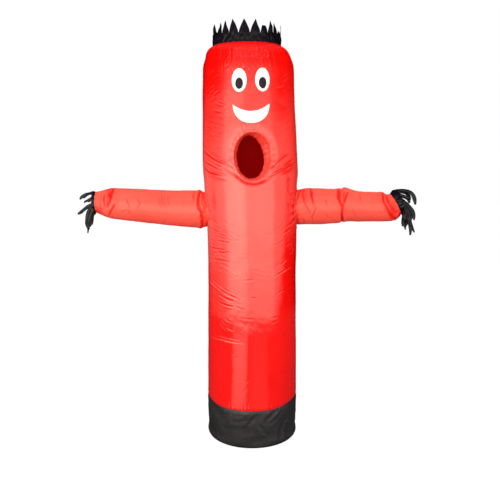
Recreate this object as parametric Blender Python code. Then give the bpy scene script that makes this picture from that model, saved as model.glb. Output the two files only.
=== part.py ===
# Inflatable air dancer costume: a tall cloth tube that stands on its own hem, with both sleeves held out.
# Metres, +Z up. The front faces -Y, and left and right are as seen from the front, so right is +X.
# The origin is on the floor, on the axis of the tube's lower half.

import math
from collections import namedtuple

import bmesh
import bpy
from mathutils import Vector

# Driving dimensions
CLOTH = 0.002  # thickness of each cloth wall
PATCH = 0.001  # thickness of the sewn-on face pieces
GAP = 0.0003  # between pieces that touch
COLUMNS = 40  # facets around the tube and the hem

SEAM_HEIGHT = 0.217  # where the red tube meets the black hem band
SEAM_DIP = 0.0155  # the seam hangs lower at the front
SEAM_DIP_ANGLE = math.radians(27)
LEG_OPENING = 0.135  # radius of the hole in the turned-under hem

SHOULDER_HEIGHT = 1.855  # where the tube starts to round over
SHOULDER_RISE = 0.100
SHOULDER_REACH = 0.090
CROWN_RADIUS = 0.161
LIP_FOOT = 1.9475  # where the tube's top edge turns up into its seam
LIP = 0.009  # the height of that seam
TOP_DOME = 0.014
DISC_EDGE = 0.004  # the top disc's edge, above the crown's lower edge
HEAD_LEAN = -0.0195

FACE_ANGLE = math.radians(4.15)  # the printed face is turned this far to the right
FACE_TILT = 0.006  # rise of the face for each radian to the right
EYE_ANGLE = math.radians(13.9)
EYE_HEIGHT = 1.768
EYE_HALF_WIDTH = 0.0362
EYE_HALF_HEIGHT = 0.0545
PUPIL_DROP = 0.0135
PUPIL_HALF_WIDTH = 0.0177
PUPIL_HALF_HEIGHT = 0.0252
SMILE_HEIGHT = 1.662
SMILE_HALF_ANGLE = math.radians(21.9)
SMILE_UPPER_SAG = 0.032
SMILE_LOWER_SAG = 0.085
SMILE_CORNER = 0.004  # height of its cut corners
SMILE_COLUMNS = 22

OPENING_MIDDLE = Vector((0.0045, 0.0, 1.426))  # the face opening in the front of the tube
OPENING_HALF_WIDTH = 0.090
OPENING_HALF_HEIGHT = 0.112
OPENING_SIDES = 32
OPENING_DRAW = 0.010  # how far its edge is drawn in
OPENING_DRAW_WIDTH = 0.16  # over this share of its half size
HOLE_MIDDLE = Vector((-0.007, -0.155, 1.4225))  # the smaller hole at the back of the funnel
HOLE_HALF_WIDTH = 0.063
HOLE_HALF_HEIGHT = 0.100
HOLE_TILT = math.radians(6)

SLEEVE_SIDES = 24
CROWN_BASE = 1.9500
CROWN_BAND = 0.041  # from the seam up to the valleys between the points
CROWN_POINT = 0.060  # from the valleys to the tips
CROWN_INWARD = 0.004  # how far the tips lean in
STRAND_THICKNESS = 0.003
STRAND_STATIONS = 5
STRAND_ROOT = 0.004

# Sections of the tube from the hem seam to the shoulder
Ring = namedtuple("Ring", "height radius lean")
TUBE_RINGS = (
    Ring(0.10, 0.2275, 0.000),
    Ring(0.22, 0.2270, 0.000),
    Ring(0.60, 0.2230, 0.000),
    Ring(0.89, 0.2200, 0.000),
    Ring(1.04, 0.2225, -0.001),
    Ring(1.16, 0.2265, -0.004),
    Ring(1.28, 0.2280, -0.0075),
    Ring(1.35, 0.2330, -0.0085),
    Ring(1.47, 0.2305, -0.012),
    Ring(1.57, 0.2270, -0.0145),
    Ring(1.69, 0.2220, -0.018),
    Ring(1.855, 0.2190, HEAD_LEAN),
)

# Heights of the tube's rows of facets, closer together where its creases run
RowRun = namedtuple("RowRun", "low high count")
TUBE_ROWS = (
    RowRun(0.30, 0.64, 2),
    RowRun(0.70, 0.83, 5),
    RowRun(0.90, 1.25, 4),
    RowRun(1.28, 1.45, 8),
    RowRun(1.50, SHOULDER_HEIGHT, 5),
)
SHOULDER_TURNS = (18, 34, 47, 58)  # degrees around the shoulder's arc

# Creases pressed into the tube, each with its run of places on the surface: degrees around and height
Crease = namedtuple("Crease", "depth width run")
UNDER_FACE = ((-66, 1.425), (-39, 1.400), (-20, 1.355), (-5, 1.313), (3, 1.305), (14, 1.314), (26, 1.341))
CREASES = (
    Crease(0.012, 0.020, UNDER_FACE + ((45, 1.358), (74, 1.396))),
    Crease(0.009, 0.016, ((-80, 1.350), (-50, 1.339), (-34, 1.341))),
    Crease(0.008, 0.015, ((28, 1.352), (35, 1.382), (45, 1.432))),
    Crease(0.007, 0.018, ((-78, 0.812), (-43, 0.778), (-25, 0.738), (-14, 0.737))),
)

# Sections of the hem band, from the leg opening out along the floor and up to the seam
HemRing = namedtuple("HemRing", "height radius")
HEM_RINGS = (
    HemRing(0.000, LEG_OPENING),
    HemRing(0.000, 0.170),
    HemRing(0.000, 0.205),
    HemRing(0.003, 0.2165),
    HemRing(0.013, 0.2260),
    HemRing(0.030, 0.2280),
    HemRing(0.060, 0.2255),
    HemRing(0.110, 0.2275),
    HemRing(0.165, 0.2280),
)

# Sections of each sleeve: how far out, the height of its middle, its radius and how far its end turns up
SleeveRing = namedtuple("SleeveRing", "reach height radius turn")
LEFT_SLEEVE = (
    SleeveRing(0.205, 1.163, 0.0865, 0),
    SleeveRing(0.238, 1.163, 0.0865, 0),
    SleeveRing(0.245, 1.163, 0.0890, 0),
    SleeveRing(0.254, 1.164, 0.0935, 0),
    SleeveRing(0.262, 1.164, 0.0925, 0),
    SleeveRing(0.271, 1.164, 0.0865, 0),
    SleeveRing(0.282, 1.165, 0.0900, 0),
    SleeveRing(0.345, 1.167, 0.0870, 0),
    SleeveRing(0.420, 1.171, 0.0845, 0),
    SleeveRing(0.500, 1.178, 0.0820, 0),
    SleeveRing(0.650, 1.189, 0.0755, 0),
    SleeveRing(0.690, 1.192, 0.0745, 0),
    SleeveRing(0.708, 1.193, 0.0700, 0),
    SleeveRing(0.726, 1.193, 0.0700, 0),
    SleeveRing(0.751, 1.192, 0.0640, 0),
    SleeveRing(0.770, 1.196, 0.0550, 0),
    SleeveRing(0.785, 1.197, 0.0460, 0),
)
RIGHT_SLEEVE = (
    SleeveRing(0.205, 1.1745, 0.0865, 0),
    SleeveRing(0.231, 1.1745, 0.0865, 0),
    SleeveRing(0.245, 1.176, 0.0870, 0),
    SleeveRing(0.265, 1.178, 0.0885, 0),
    SleeveRing(0.345, 1.178, 0.0865, 0),
    SleeveRing(0.400, 1.179, 0.0835, 0),
    SleeveRing(0.432, 1.181, 0.0820, 0),
    SleeveRing(0.446, 1.184, 0.0770, 0),
    SleeveRing(0.460, 1.187, 0.0835, 0),
    SleeveRing(0.490, 1.183, 0.0780, 0),
    SleeveRing(0.533, 1.177, 0.0730, 0),
    SleeveRing(0.600, 1.176, 0.0705, 0),
    SleeveRing(0.650, 1.175, 0.0700, 4),
    SleeveRing(0.673, 1.174, 0.0660, 12),
    SleeveRing(0.692, 1.173, 0.0700, 20),
    SleeveRing(0.706, 1.183, 0.0610, 27),
    SleeveRing(0.719, 1.1965, 0.0490, 32),
)

# The crown's points that show at the front: degrees around, share of the full height, the tip's lean sideways
CrownPoint = namedtuple("CrownPoint", "angle height sideways")
FRONT_POINTS = (
    CrownPoint(-72.6, 0.92, 0.004),
    CrownPoint(-52.0, 0.88, 0.000),
    CrownPoint(-39.5, 0.94, 0.002),
    CrownPoint(-24.0, 0.98, -0.002),
    CrownPoint(-4.3, 1.00, 0.000),
    CrownPoint(15.1, 0.98, 0.000),
    CrownPoint(30.5, 0.70, 0.004),
    CrownPoint(43.5, 0.95, 0.000),
    CrownPoint(57.0, 0.86, 0.006),
    CrownPoint(77.7, 0.62, 0.004),
)
BACK_POINTS = 11

# The columns of one point: share of the way to the next point, and share of its height
CrownColumn = namedtuple("CrownColumn", "share height")
POINT_COLUMNS = (
    CrownColumn(-0.25, 0.5),
    CrownColumn(0.0, 1.0),
    CrownColumn(0.25, 0.5),
    CrownColumn(0.5, 0.0),
)

# The black fringe at each wrist. Around: 0 is the top of the wrist, 90 its front, 180 its underside.
# Out is away from the body, drop is downwards, both from the strand's root.
Strand = namedtuple("Strand", "around mid_out mid_drop tip_out tip_drop width")
LEFT_STRANDS = (
    Strand(8, 0.030, -0.002, 0.055, 0.020, 0.018),
    Strand(34, 0.024, 0.002, 0.048, 0.026, 0.014),
    Strand(62, 0.020, 0.006, 0.034, 0.020, 0.010),
    Strand(100, 0.030, 0.022, 0.052, 0.052, 0.018),
    Strand(128, 0.028, 0.030, 0.036, 0.104, 0.018),
    Strand(156, 0.018, 0.030, 0.024, 0.112, 0.016),
    Strand(184, 0.012, 0.030, 0.008, 0.091, 0.018),
    Strand(212, 0.016, 0.026, 0.018, 0.076, 0.016),
    Strand(245, 0.022, 0.024, 0.026, 0.080, 0.016),
    Strand(280, 0.026, 0.016, 0.036, 0.066, 0.016),
    Strand(318, 0.028, 0.006, 0.046, 0.040, 0.016),
)
RIGHT_STRANDS = (
    Strand(14, 0.072, -0.012, 0.108, 0.080, 0.012),
    Strand(50, 0.030, 0.004, 0.050, 0.050, 0.012),
    Strand(84, 0.026, 0.016, 0.054, 0.080, 0.012),
    Strand(112, 0.012, 0.030, 0.044, 0.120, 0.012),
    Strand(138, 0.006, 0.040, 0.020, 0.146, 0.016),
    Strand(162, 0.002, 0.034, -0.006, 0.112, 0.007),
    Strand(188, 0.000, 0.030, -0.026, 0.080, 0.018),
    Strand(214, 0.006, 0.036, 0.010, 0.110, 0.016),
    Strand(246, 0.014, 0.030, 0.026, 0.100, 0.014),
    Strand(284, 0.026, 0.016, 0.040, 0.086, 0.014),
    Strand(326, 0.036, 0.002, 0.060, 0.060, 0.014),
)
CuffRing = namedtuple("CuffRing", "out radius")
LEFT_CUFF = (CuffRing(GAP, 0.0460), CuffRing(0.006, 0.0450), CuffRing(0.012, 0.0440))
RIGHT_CUFF = (
    CuffRing(GAP, 0.0490),
    CuffRing(0.010, 0.0580),
    CuffRing(0.022, 0.0600),
    CuffRing(0.034, 0.0550),
)


def clear_scene():
    for old in list(bpy.data.objects):
        bpy.data.objects.remove(old, do_unlink=True)


def make_material(name, colour, roughness):
    material = bpy.data.materials.new(name)
    material.use_nodes = True
    shader = material.node_tree.nodes["Principled BSDF"]
    shader.inputs["Base Color"].default_value = (*colour, 1.0)
    shader.inputs["Roughness"].default_value = roughness
    shader.inputs["Metallic"].default_value = 0.0
    return material


def make_object(name, mesh_builder, material=None):
    mesh = bpy.data.meshes.new(name)
    mesh_builder.to_mesh(mesh)
    mesh_builder.free()
    made = bpy.data.objects.new(name, mesh)
    bpy.context.scene.collection.objects.link(made)
    if material:
        mesh.materials.append(material)
        mesh.shade_smooth()
    return made


def thicken(target, thickness):
    """Gives the skin its cloth thickness on the inner side."""
    solidify = target.modifiers.new("Cloth", "SOLIDIFY")
    solidify.thickness = thickness
    solidify.offset = -1.0
    solidify.use_even_offset = True
    solidify.use_rim = True


def boolean(target, cutter, operation):
    cutter.hide_render = True
    cutter.display_type = "WIRE"
    modifier = target.modifiers.new(cutter.name, "BOOLEAN")
    modifier.operation = operation
    modifier.object = cutter


def skin(rings, pole=None, caps=False):
    """A skin through closed rings of points, which turn anticlockwise as seen from beyond the last one."""
    bm = bmesh.new()
    rows = [[bm.verts.new(point) for point in ring] for ring in rings]
    for low, high in zip(rows, rows[1:]):
        for here in range(len(low)):
            after = (here + 1) % len(low)
            bm.faces.new((low[here], low[after], high[after], high[here]))
    if pole is not None:
        top = bm.verts.new(pole)
        for here, vert in enumerate(rows[-1]):
            bm.faces.new((vert, rows[-1][(here + 1) % len(rows[-1])], top))
    if caps:
        bm.faces.new(rows[0][::-1])
        bm.faces.new(rows[-1])
    return bm


def read_rings(rings, height, column):
    """One column of a table of sections, read smoothly at a height between its rows."""
    heights = [ring.height for ring in rings]
    values = [getattr(ring, column) for ring in rings]
    if height <= heights[0]:
        return values[0]
    if height >= heights[-1]:
        return values[-1]
    after = next(i for i, h in enumerate(heights) if h > height)
    before = after - 1

    def slope(row):
        low = max(row - 1, 0)
        high = min(row + 1, len(rings) - 1)
        return (values[high] - values[low]) / (heights[high] - heights[low])

    span = heights[after] - heights[before]
    t = (height - heights[before]) / span
    start = values[before] * (2 * t**3 - 3 * t**2 + 1) + slope(before) * span * (t**3 - 2 * t**2 + t)
    end = values[after] * (3 * t**2 - 2 * t**3) + slope(after) * span * (t**3 - t**2)
    return start + end


def plain_radius(height):
    if height <= SHOULDER_HEIGHT:
        return read_rings(TUBE_RINGS, height, "radius")
    rise = min((height - SHOULDER_HEIGHT) / SHOULDER_RISE, 0.999)
    return TUBE_RINGS[-1].radius - SHOULDER_REACH * (1 - math.sqrt(1 - rise**2))


def crease_depth(angle, height):
    """How far all the creases together press the tube in at a place on it."""
    pressed = 0.0
    for crease in CREASES:
        points = [Vector((math.radians(a) * plain_radius(h), h)) for a, h in crease.run]
        here = Vector((angle * plain_radius(height), height))
        nearest = min(distance_to_run(here, a, b) for a, b in zip(points, points[1:]))
        pressed = max(pressed, crease.depth * math.exp(-((nearest / crease.width) ** 2)))
    return pressed


def distance_to_run(point, start, end):
    along = end - start
    share = max(0.0, min(1.0, (point - start).dot(along) / along.length_squared))
    return (point - start - along * share).length


def opening_draw(angle, height):
    """How far the cloth around the face opening is drawn in."""
    across = plain_radius(height) * math.sin(angle) + read_rings(TUBE_RINGS, height, "lean")
    if math.cos(angle) < 0:
        return 0.0
    share = math.hypot(
        (across - OPENING_MIDDLE.x) / OPENING_HALF_WIDTH, (height - OPENING_MIDDLE.z) / OPENING_HALF_HEIGHT
    )
    return OPENING_DRAW * math.exp(-max(0.0, (share - 1) / OPENING_DRAW_WIDTH) ** 2)


def on_tube(angle, height, out=0.0):
    """A point on the tube's outer face, or a little way out from it."""
    radius = plain_radius(height) - crease_depth(angle, height) - opening_draw(angle, height) + out
    lean = read_rings(TUBE_RINGS, height, "lean")
    return Vector((lean + radius * math.sin(angle), -radius * math.cos(angle), height))


def on_front(across, height):
    """The point of the tube's front at a place given across and up."""
    lean = read_rings(TUBE_RINGS, height, "lean")
    angle = math.asin((across - lean) / plain_radius(height))
    return on_tube(angle, height)


def seam_height(angle):
    return SEAM_HEIGHT - SEAM_DIP * math.exp(-((angle / SEAM_DIP_ANGLE) ** 2))


def column_angles(count):
    """Even angles around, from just past the back, with one on the front."""
    return [2 * math.pi * (i / count - 0.5) for i in range(count)]


def steps(low, high, count):
    return [low + (high - low) * i / count for i in range(count + 1)]


def make_tube(material):
    angles = column_angles(COLUMNS)
    heights = [height for run in TUBE_ROWS for height in steps(run.low, run.high, run.count)]
    heights += [SHOULDER_HEIGHT + SHOULDER_RISE * math.sin(math.radians(turn)) for turn in SHOULDER_TURNS]
    rings = [[on_tube(a, seam_height(a) + GAP / 2) for a in angles]]
    rings += [[on_tube(a, height) for a in angles] for height in heights]
    for height in (LIP_FOOT, LIP_FOOT + LIP):
        rings.append([top_point(CROWN_RADIUS, a, height) for a in angles])
    tube = make_object("tube", skin(rings), material)
    thicken(tube, CLOTH)
    boolean(tube, make_opening_cutter(), "DIFFERENCE")
    for name, rows, side in (("left_armhole", LEFT_SLEEVE, -1), ("right_armhole", RIGHT_SLEEVE, 1)):
        boolean(tube, make_armhole_cutter(name, rows[0], side), "DIFFERENCE")
    return tube


def top_point(radius, angle, height):
    return Vector((HEAD_LEAN + radius * math.sin(angle), -radius * math.cos(angle), height))


def make_top_disc(material):
    """The round top panel, domed a little by the air, inside the upright seam."""
    edge = CROWN_RADIUS - CLOTH - GAP
    angles = column_angles(COLUMNS)
    rings = [[top_point(edge, a, CROWN_BASE + DISC_EDGE) for a in angles]]
    for share in (0.75, 0.4):
        height = CROWN_BASE + DISC_EDGE + TOP_DOME * (1 - share**2)
        rings.append([top_point(edge * share, a, height) for a in angles])
    pole = top_point(0.0, 0.0, CROWN_BASE + DISC_EDGE + TOP_DOME)
    disc = make_object("top_disc", skin(rings, pole=pole), material)
    thicken(disc, CLOTH)
    return disc


def make_hem(material):
    """The black band, turned under on the floor and drawn in to the leg opening."""
    angles = column_angles(COLUMNS)
    rings = [
        [Vector((ring.radius * math.sin(a), -ring.radius * math.cos(a), ring.height)) for a in angles]
        for ring in HEM_RINGS
    ]
    rings.append([on_tube(a, seam_height(a) - GAP / 2) for a in angles])
    hem = make_object("hem_band", skin(rings), material)
    thicken(hem, CLOTH)
    return hem


def crown_points():
    """Every point of the crown, the back ones evenly spaced with their heights varying a little."""
    first = FRONT_POINTS[0].angle + 360
    last = FRONT_POINTS[-1].angle
    pitch = (first - last) / (BACK_POINTS + 1)
    back = []
    for i in range(BACK_POINTS):
        back.append(CrownPoint(last + pitch * (i + 1), 0.80 + 0.15 * math.cos(2.4 * i), 0.002))
    return list(FRONT_POINTS) + back


def make_crown(material):
    """A strip of cloth cut into points, standing up from the seam around the top."""
    points = crown_points()
    foot = []
    middle = []
    edge = []
    radius = CROWN_RADIUS + GAP + CLOTH
    for here, point in enumerate(points):
        after = points[(here + 1) % len(points)]
        gap = (after.angle - point.angle) % 360
        before = points[here - 1]
        gap_before = (point.angle - before.angle) % 360
        for column in POINT_COLUMNS:
            spread = gap if column.share > 0 else gap_before
            angle = math.radians(point.angle + column.share * spread)
            rise = CROWN_BAND + CROWN_POINT * point.height * column.height
            shifted = angle + point.sideways * column.height / radius
            foot.append(top_point(radius, angle, CROWN_BASE))
            middle.append(top_point(radius, angle, CROWN_BASE + CROWN_BAND * 0.5))
            edge.append(top_point(radius - CROWN_INWARD * column.height, shifted, CROWN_BASE + rise))
    crown = make_object("crown_strip", skin([foot, middle, edge]), material)
    thicken(crown, CLOTH)
    return crown


def opening_ring(middle, half_width, half_height, tilt=0.0, egg=0.0):
    """Points around an upright oval, from its top towards the right: (across, up) of each."""
    ring = []
    for i in range(OPENING_SIDES):
        turn = 2 * math.pi * i / OPENING_SIDES
        across = half_width * math.sin(turn) * (1 - egg * math.cos(turn))
        up = half_height * math.cos(turn)
        ring.append(
            (
                middle.x + across * math.cos(tilt) - up * math.sin(tilt),
                middle.z + up * math.cos(tilt) + across * math.sin(tilt),
            )
        )
    return ring


def make_opening_cutter():
    spare = GAP * 1.3
    ring = opening_ring(OPENING_MIDDLE, OPENING_HALF_WIDTH + spare, OPENING_HALF_HEIGHT + spare)
    rings = [[Vector((x, y, z)) for x, z in ring] for y in (-0.30, -0.10)]
    return make_object("face_opening_cutter", skin(rings, caps=True))


def make_funnel(material):
    """The cloth that leads back from the face opening to the smaller hole."""
    rim = opening_ring(OPENING_MIDDLE, OPENING_HALF_WIDTH, OPENING_HALF_HEIGHT)
    hole = opening_ring(HOLE_MIDDLE, HOLE_HALF_WIDTH, HOLE_HALF_HEIGHT, HOLE_TILT, egg=0.1)
    Section = namedtuple("Section", "inwards backwards extra")
    sections = (
        Section(0.0, 0.0, -0.001),
        Section(0.0, 0.0, 0.009),
        Section(0.30, 0.34, 0.004),
        Section(0.75, 0.70, 0.0),
        Section(1.0, 1.0, 0.0),
    )
    rings = []
    for section in sections:
        ring = []
        for (rim_x, rim_z), (hole_x, hole_z) in zip(rim, hole):
            front = on_front(rim_x, rim_z).y
            ring.append(
                Vector(
                    (
                        rim_x + (hole_x - rim_x) * section.inwards,
                        front + (HOLE_MIDDLE.y - front) * section.backwards + section.extra,
                        rim_z + (hole_z - rim_z) * section.inwards,
                    )
                )
            )
        rings.append(ring)
    funnel = make_object("face_funnel", skin(rings), material)
    thicken(funnel, CLOTH)
    return funnel


def sleeve_frame(row, side):
    """The middle of a sleeve's section, the way it faces and the way up across it."""
    turn = math.radians(row.turn)
    middle = Vector((side * row.reach, 0.0, row.height))
    facing = Vector((side * math.cos(turn), 0.0, math.sin(turn)))
    up = Vector((-side * math.sin(turn), 0.0, math.cos(turn)))
    return middle, facing, up


def sleeve_ring(row, side, radius=None, out=0.0):
    """Points around a sleeve's section, in the order that makes a skin face out on either side."""
    middle, facing, up = sleeve_frame(row, side)
    reach = radius or row.radius
    ring = []
    for i in range(SLEEVE_SIDES):
        turn = 2 * math.pi * i / SLEEVE_SIDES
        front = Vector((0.0, -reach * math.cos(turn), 0.0))
        ring.append(middle + facing * out + front - up * side * reach * math.sin(turn))
    return ring


def make_armhole_cutter(name, root, side):
    """A little wider than the sleeve's root, which passes through the wall here."""
    rings = [sleeve_ring(root._replace(reach=reach), side, root.radius + GAP * 1.3) for reach in (0.15, 0.26)]
    return make_object(name + "_cutter", skin(rings, caps=True))


def make_sleeve(name, rows, side, material):
    sleeve = make_object(name, skin([sleeve_ring(row, side) for row in rows]), material)
    thicken(sleeve, CLOTH)
    return sleeve


def strand_points(strand, cuff, end_row, side):
    """The strand's middle line, from just behind its root in the cuff to its tip, and the way across."""
    middle, facing, up = sleeve_frame(end_row, side)
    turn = math.radians(strand.around)
    spoke = up * math.cos(turn) + Vector((0.0, -1.0, 0.0)) * math.sin(turn)
    inner, outer = (middle + facing * ring.out + spoke * (ring.radius - CLOTH / 2) for ring in cuff[-2:])
    root = inner.lerp(outer, 0.7)
    fan = Vector((0.0, -0.012 * math.sin(turn), 0.0))
    knee = outer + Vector((side * strand.mid_out, 0.0, -strand.mid_drop)) + fan
    tip = outer + Vector((side * strand.tip_out, 0.0, -strand.tip_drop)) + fan * 1.6
    line = [root - (knee - root).normalized() * STRAND_ROOT]
    for t in steps(0.0, 1.0, STRAND_STATIONS - 1):
        line.append(root * (1 - t) ** 2 + knee * (2 * t * (1 - t)) + tip * t**2)
    across = facing.cross(spoke).normalized()
    return line, across


def make_strand(name, strand, cuff, end_row, side):
    """One flat four-sided strip that narrows to its tip."""
    line, across = strand_points(strand, cuff, end_row, side)
    rings = []
    for i, point in enumerate(line):
        ahead = (line[min(i + 1, len(line) - 1)] - line[max(i - 1, 0)]).normalized()
        wide = (across - ahead * across.dot(ahead)).normalized()
        thick = ahead.cross(wide)
        share = max(0.0, i - 1) / (len(line) - 2)
        half = strand.width / 2 * (1 - 0.65 * share**1.5)
        depth = STRAND_THICKNESS / 2 * (1 - 0.3 * share)
        side_step = wide * half
        face_step = thick * depth
        rings.append([point + side_step * a + face_step * b for a, b in ((1, 1), (-1, 1), (-1, -1), (1, -1))])
    return make_object(name, skin(rings, caps=True))


def make_fringe(name, strands, cuff, end_row, side, material):
    """A narrow cuff strip at the sleeve's end with the strands' roots fused into it."""
    rings = [sleeve_ring(end_row, side, ring.radius, ring.out) for ring in cuff]
    fringe = make_object(name, skin(rings), material)
    thicken(fringe, CLOTH)
    for number, strand in enumerate(strands):
        boolean(fringe, make_strand(f"{name}_strand_{number}", strand, cuff, end_row, side), "UNION")
    return fringe


def face_height(angle):
    """How much the tilted face rises at this angle."""
    return FACE_TILT * (angle - FACE_ANGLE)


def make_oval_patch(name, angle, height, half_width, half_height, out, material, sides=24):
    """An oval of cloth that lies on the tube's front, built outwards from its middle."""
    radius = plain_radius(height)
    rings = []
    for share in (1.0, 0.66, 0.33):
        ring = []
        for i in range(sides):
            turn = -2 * math.pi * i / sides
            a = angle + share * half_width / radius * math.sin(turn)
            ring.append(on_tube(a, height + share * half_height * math.cos(turn), out + PATCH))
        rings.append(ring)
    patch = make_object(name, skin(rings, pole=on_tube(angle, height, out + PATCH)), material)
    thicken(patch, PATCH)
    return patch


def make_eyes(white, black):
    for side, word in ((-1, "left"), (1, "right")):
        angle = FACE_ANGLE + side * EYE_ANGLE
        height = EYE_HEIGHT + face_height(angle)
        make_oval_patch(word + "_eye", angle, height, EYE_HALF_WIDTH, EYE_HALF_HEIGHT, GAP, white)
        on_eye = GAP + PATCH + GAP
        lower = height - PUPIL_DROP
        make_oval_patch(word + "_pupil", angle, lower, PUPIL_HALF_WIDTH, PUPIL_HALF_HEIGHT, on_eye, black, 16)


def make_smile(material):
    """A crescent between a shallow upper arc and a deep lower one."""
    bm = bmesh.new()
    columns = []
    lower_sag = SMILE_LOWER_SAG - SMILE_CORNER
    for i in range(SMILE_COLUMNS + 1):
        share = math.sin(math.pi * (i / SMILE_COLUMNS - 0.5))
        angle = FACE_ANGLE + SMILE_HALF_ANGLE * share
        base = SMILE_HEIGHT + face_height(angle)
        upper = base - SMILE_UPPER_SAG * (1 - share**2)
        lower = base - SMILE_CORNER - lower_sag * math.sqrt(max(0.0, 1 - abs(share) ** 2.2))
        columns.append([bm.verts.new(on_tube(angle, h, GAP + PATCH)) for h in steps(lower, upper, 3)])
    for left, right in zip(columns, columns[1:]):
        for low in range(3):
            bm.faces.new((left[low], right[low], right[low + 1], left[low + 1]))
    smile = make_object("smile", bm, material)
    thicken(smile, PATCH)
    return smile


def main():
    clear_scene()
    red = make_material("red_nylon", (0.80, 0.02, 0.015), 0.38)
    black = make_material("black_nylon", (0.012, 0.012, 0.014), 0.55)
    white = make_material("white_cloth", (0.85, 0.85, 0.85), 0.6)
    make_tube(red)
    make_top_disc(red)
    make_hem(black)
    make_crown(black)
    make_funnel(red)
    make_sleeve("left_sleeve", LEFT_SLEEVE, -1, red)
    make_sleeve("right_sleeve", RIGHT_SLEEVE, 1, red)
    make_fringe("left_fringe", LEFT_STRANDS, LEFT_CUFF, LEFT_SLEEVE[-1], -1, black)
    make_fringe("right_fringe", RIGHT_STRANDS, RIGHT_CUFF, RIGHT_SLEEVE[-1], 1, black)
    make_eyes(white, black)
    make_smile(white)


main()
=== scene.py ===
import math
import random

import bmesh
import bpy
import numpy as np
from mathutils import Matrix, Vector, noise


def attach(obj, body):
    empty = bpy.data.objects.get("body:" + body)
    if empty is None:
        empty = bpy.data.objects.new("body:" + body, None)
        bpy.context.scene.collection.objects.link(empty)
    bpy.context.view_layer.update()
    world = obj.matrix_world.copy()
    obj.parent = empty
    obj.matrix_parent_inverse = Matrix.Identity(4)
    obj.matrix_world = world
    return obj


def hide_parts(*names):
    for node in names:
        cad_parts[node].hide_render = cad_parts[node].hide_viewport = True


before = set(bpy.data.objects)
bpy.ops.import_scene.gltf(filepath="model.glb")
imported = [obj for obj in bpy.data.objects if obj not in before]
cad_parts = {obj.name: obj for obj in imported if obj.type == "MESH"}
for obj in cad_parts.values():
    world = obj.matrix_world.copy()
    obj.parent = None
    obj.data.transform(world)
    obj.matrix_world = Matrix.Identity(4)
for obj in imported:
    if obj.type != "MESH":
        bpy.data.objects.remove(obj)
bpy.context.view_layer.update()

# Inflatable air dancer. Metres, z up, the front looks along -y, left and right are as seen from the front.
# Every cloth piece is cut flat, so its UV is its own flat cut in metres, then sewn round and blown up.

scene = bpy.context.scene
scene.view_settings.view_transform = "Standard"


# camera, lights and floor

cameraPlace = {"at": (-0.0108, -3.25, 1.467), "pitch": 81.1, "lens": 47.16, "sensor": 36.0}

cameraData = bpy.data.cameras.new("camera")
cameraData.lens = cameraPlace["lens"]
cameraData.sensor_width = cameraPlace["sensor"]
camera = bpy.data.objects.new("camera", cameraData)
camera.location = cameraPlace["at"]
camera.rotation_euler = (math.radians(cameraPlace["pitch"]), 0, 0)
scene.collection.objects.link(camera)
scene.camera = camera

panels = (   # soft panels above and at the sides: they light the cloth; it mirrors the tent further down
    {"at": (0.0, -2.2, 3.9), "size": (4.4, 2.4), "glow": 4.6},
    {"at": (0.3, 2.6, 3.6), "size": (3.6, 2.2), "glow": 5.0},
    {"at": (-2.7, -0.5, 2.5), "size": (1.4, 1.4), "glow": 4.0},
    {"at": (2.7, -0.5, 2.6), "size": (1.4, 1.4), "glow": 3.8},
    # inside the tube, for the light that comes through the cloth
    {"at": (0.0, 0.04, 1.2), "size": (0.10, 0.10), "glow": 3.0, "aim": (0.0, 0.05, 2.0)},
)

for number, panel in enumerate(panels):
    lamp = bpy.data.lights.new(f"panel{number}", "AREA")
    lamp.shape = "RECTANGLE"
    lamp.size, lamp.size_y = panel["size"]
    lamp.energy = panel["glow"] * math.pi * lamp.size * lamp.size_y
    stand = bpy.data.objects.new(f"panel{number}", lamp)
    stand.location = panel["at"]
    aim = Vector(panel.get("aim", (0, 0, 1.2)))
    stand.rotation_euler = (aim - stand.location).to_track_quat("-Z", "Y").to_euler()
    stand.visible_glossy = False
    stand.visible_camera = False
    scene.collection.objects.link(stand)


# Shader maths
class Wire:   # one socket of a material, so that maths on it reads as plain Python
    def __init__(self, tree, socket=None):
        self.tree = tree
        self.socket = socket

    def node(self, kind, settings=None, inputs=None, out=0):
        made = self.tree.nodes.new(kind)
        for name, value in (settings or {}).items():
            if name == "stops":
                while len(made.color_ramp.elements) < len(value):
                    made.color_ramp.elements.new(0.5)
                for stop, (place, grey) in zip(made.color_ramp.elements, value):
                    stop.position = place
                    stop.color = (grey, grey, grey, 1)
            else:
                setattr(made, name, value)
        for name, value in (inputs or {}).items():
            if isinstance(value, Wire):
                self.tree.links.new(value.socket, made.inputs[name])
            else:
                made.inputs[name].default_value = value
        return Wire(self.tree, made.outputs[out])

    def maths(self, operation, left, right=0.0):
        return self.node("ShaderNodeMath", {"operation": operation}, {0: left, 1: right})

    def __add__(self, other):
        return self.maths("ADD", self, other)

    def __radd__(self, other):
        return self.maths("ADD", other, self)

    def __sub__(self, other):
        return self.maths("SUBTRACT", self, other)

    def __rsub__(self, other):
        return self.maths("SUBTRACT", other, self)

    def __mul__(self, other):
        return self.maths("MULTIPLY", self, other)

    def __rmul__(self, other):
        return self.maths("MULTIPLY", other, self)

    def __pow__(self, other):
        return self.maths("POWER", self, other)

    def colours(self, dark, light):   # self is how much of the light colour there is
        return self.node("ShaderNodeMix", {"data_type": "RGBA"}, {"Factor": self, 6: dark, 7: light}, 2)


def startMaterial(name):
    material = bpy.data.materials.new(name)
    material.use_nodes = True
    tree = material.node_tree
    shader = tree.nodes["Principled BSDF"]
    return material, shader, Wire(tree)


def plug(wire, shader, name):
    wire.tree.links.new(wire.socket, shader.inputs[name])


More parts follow.
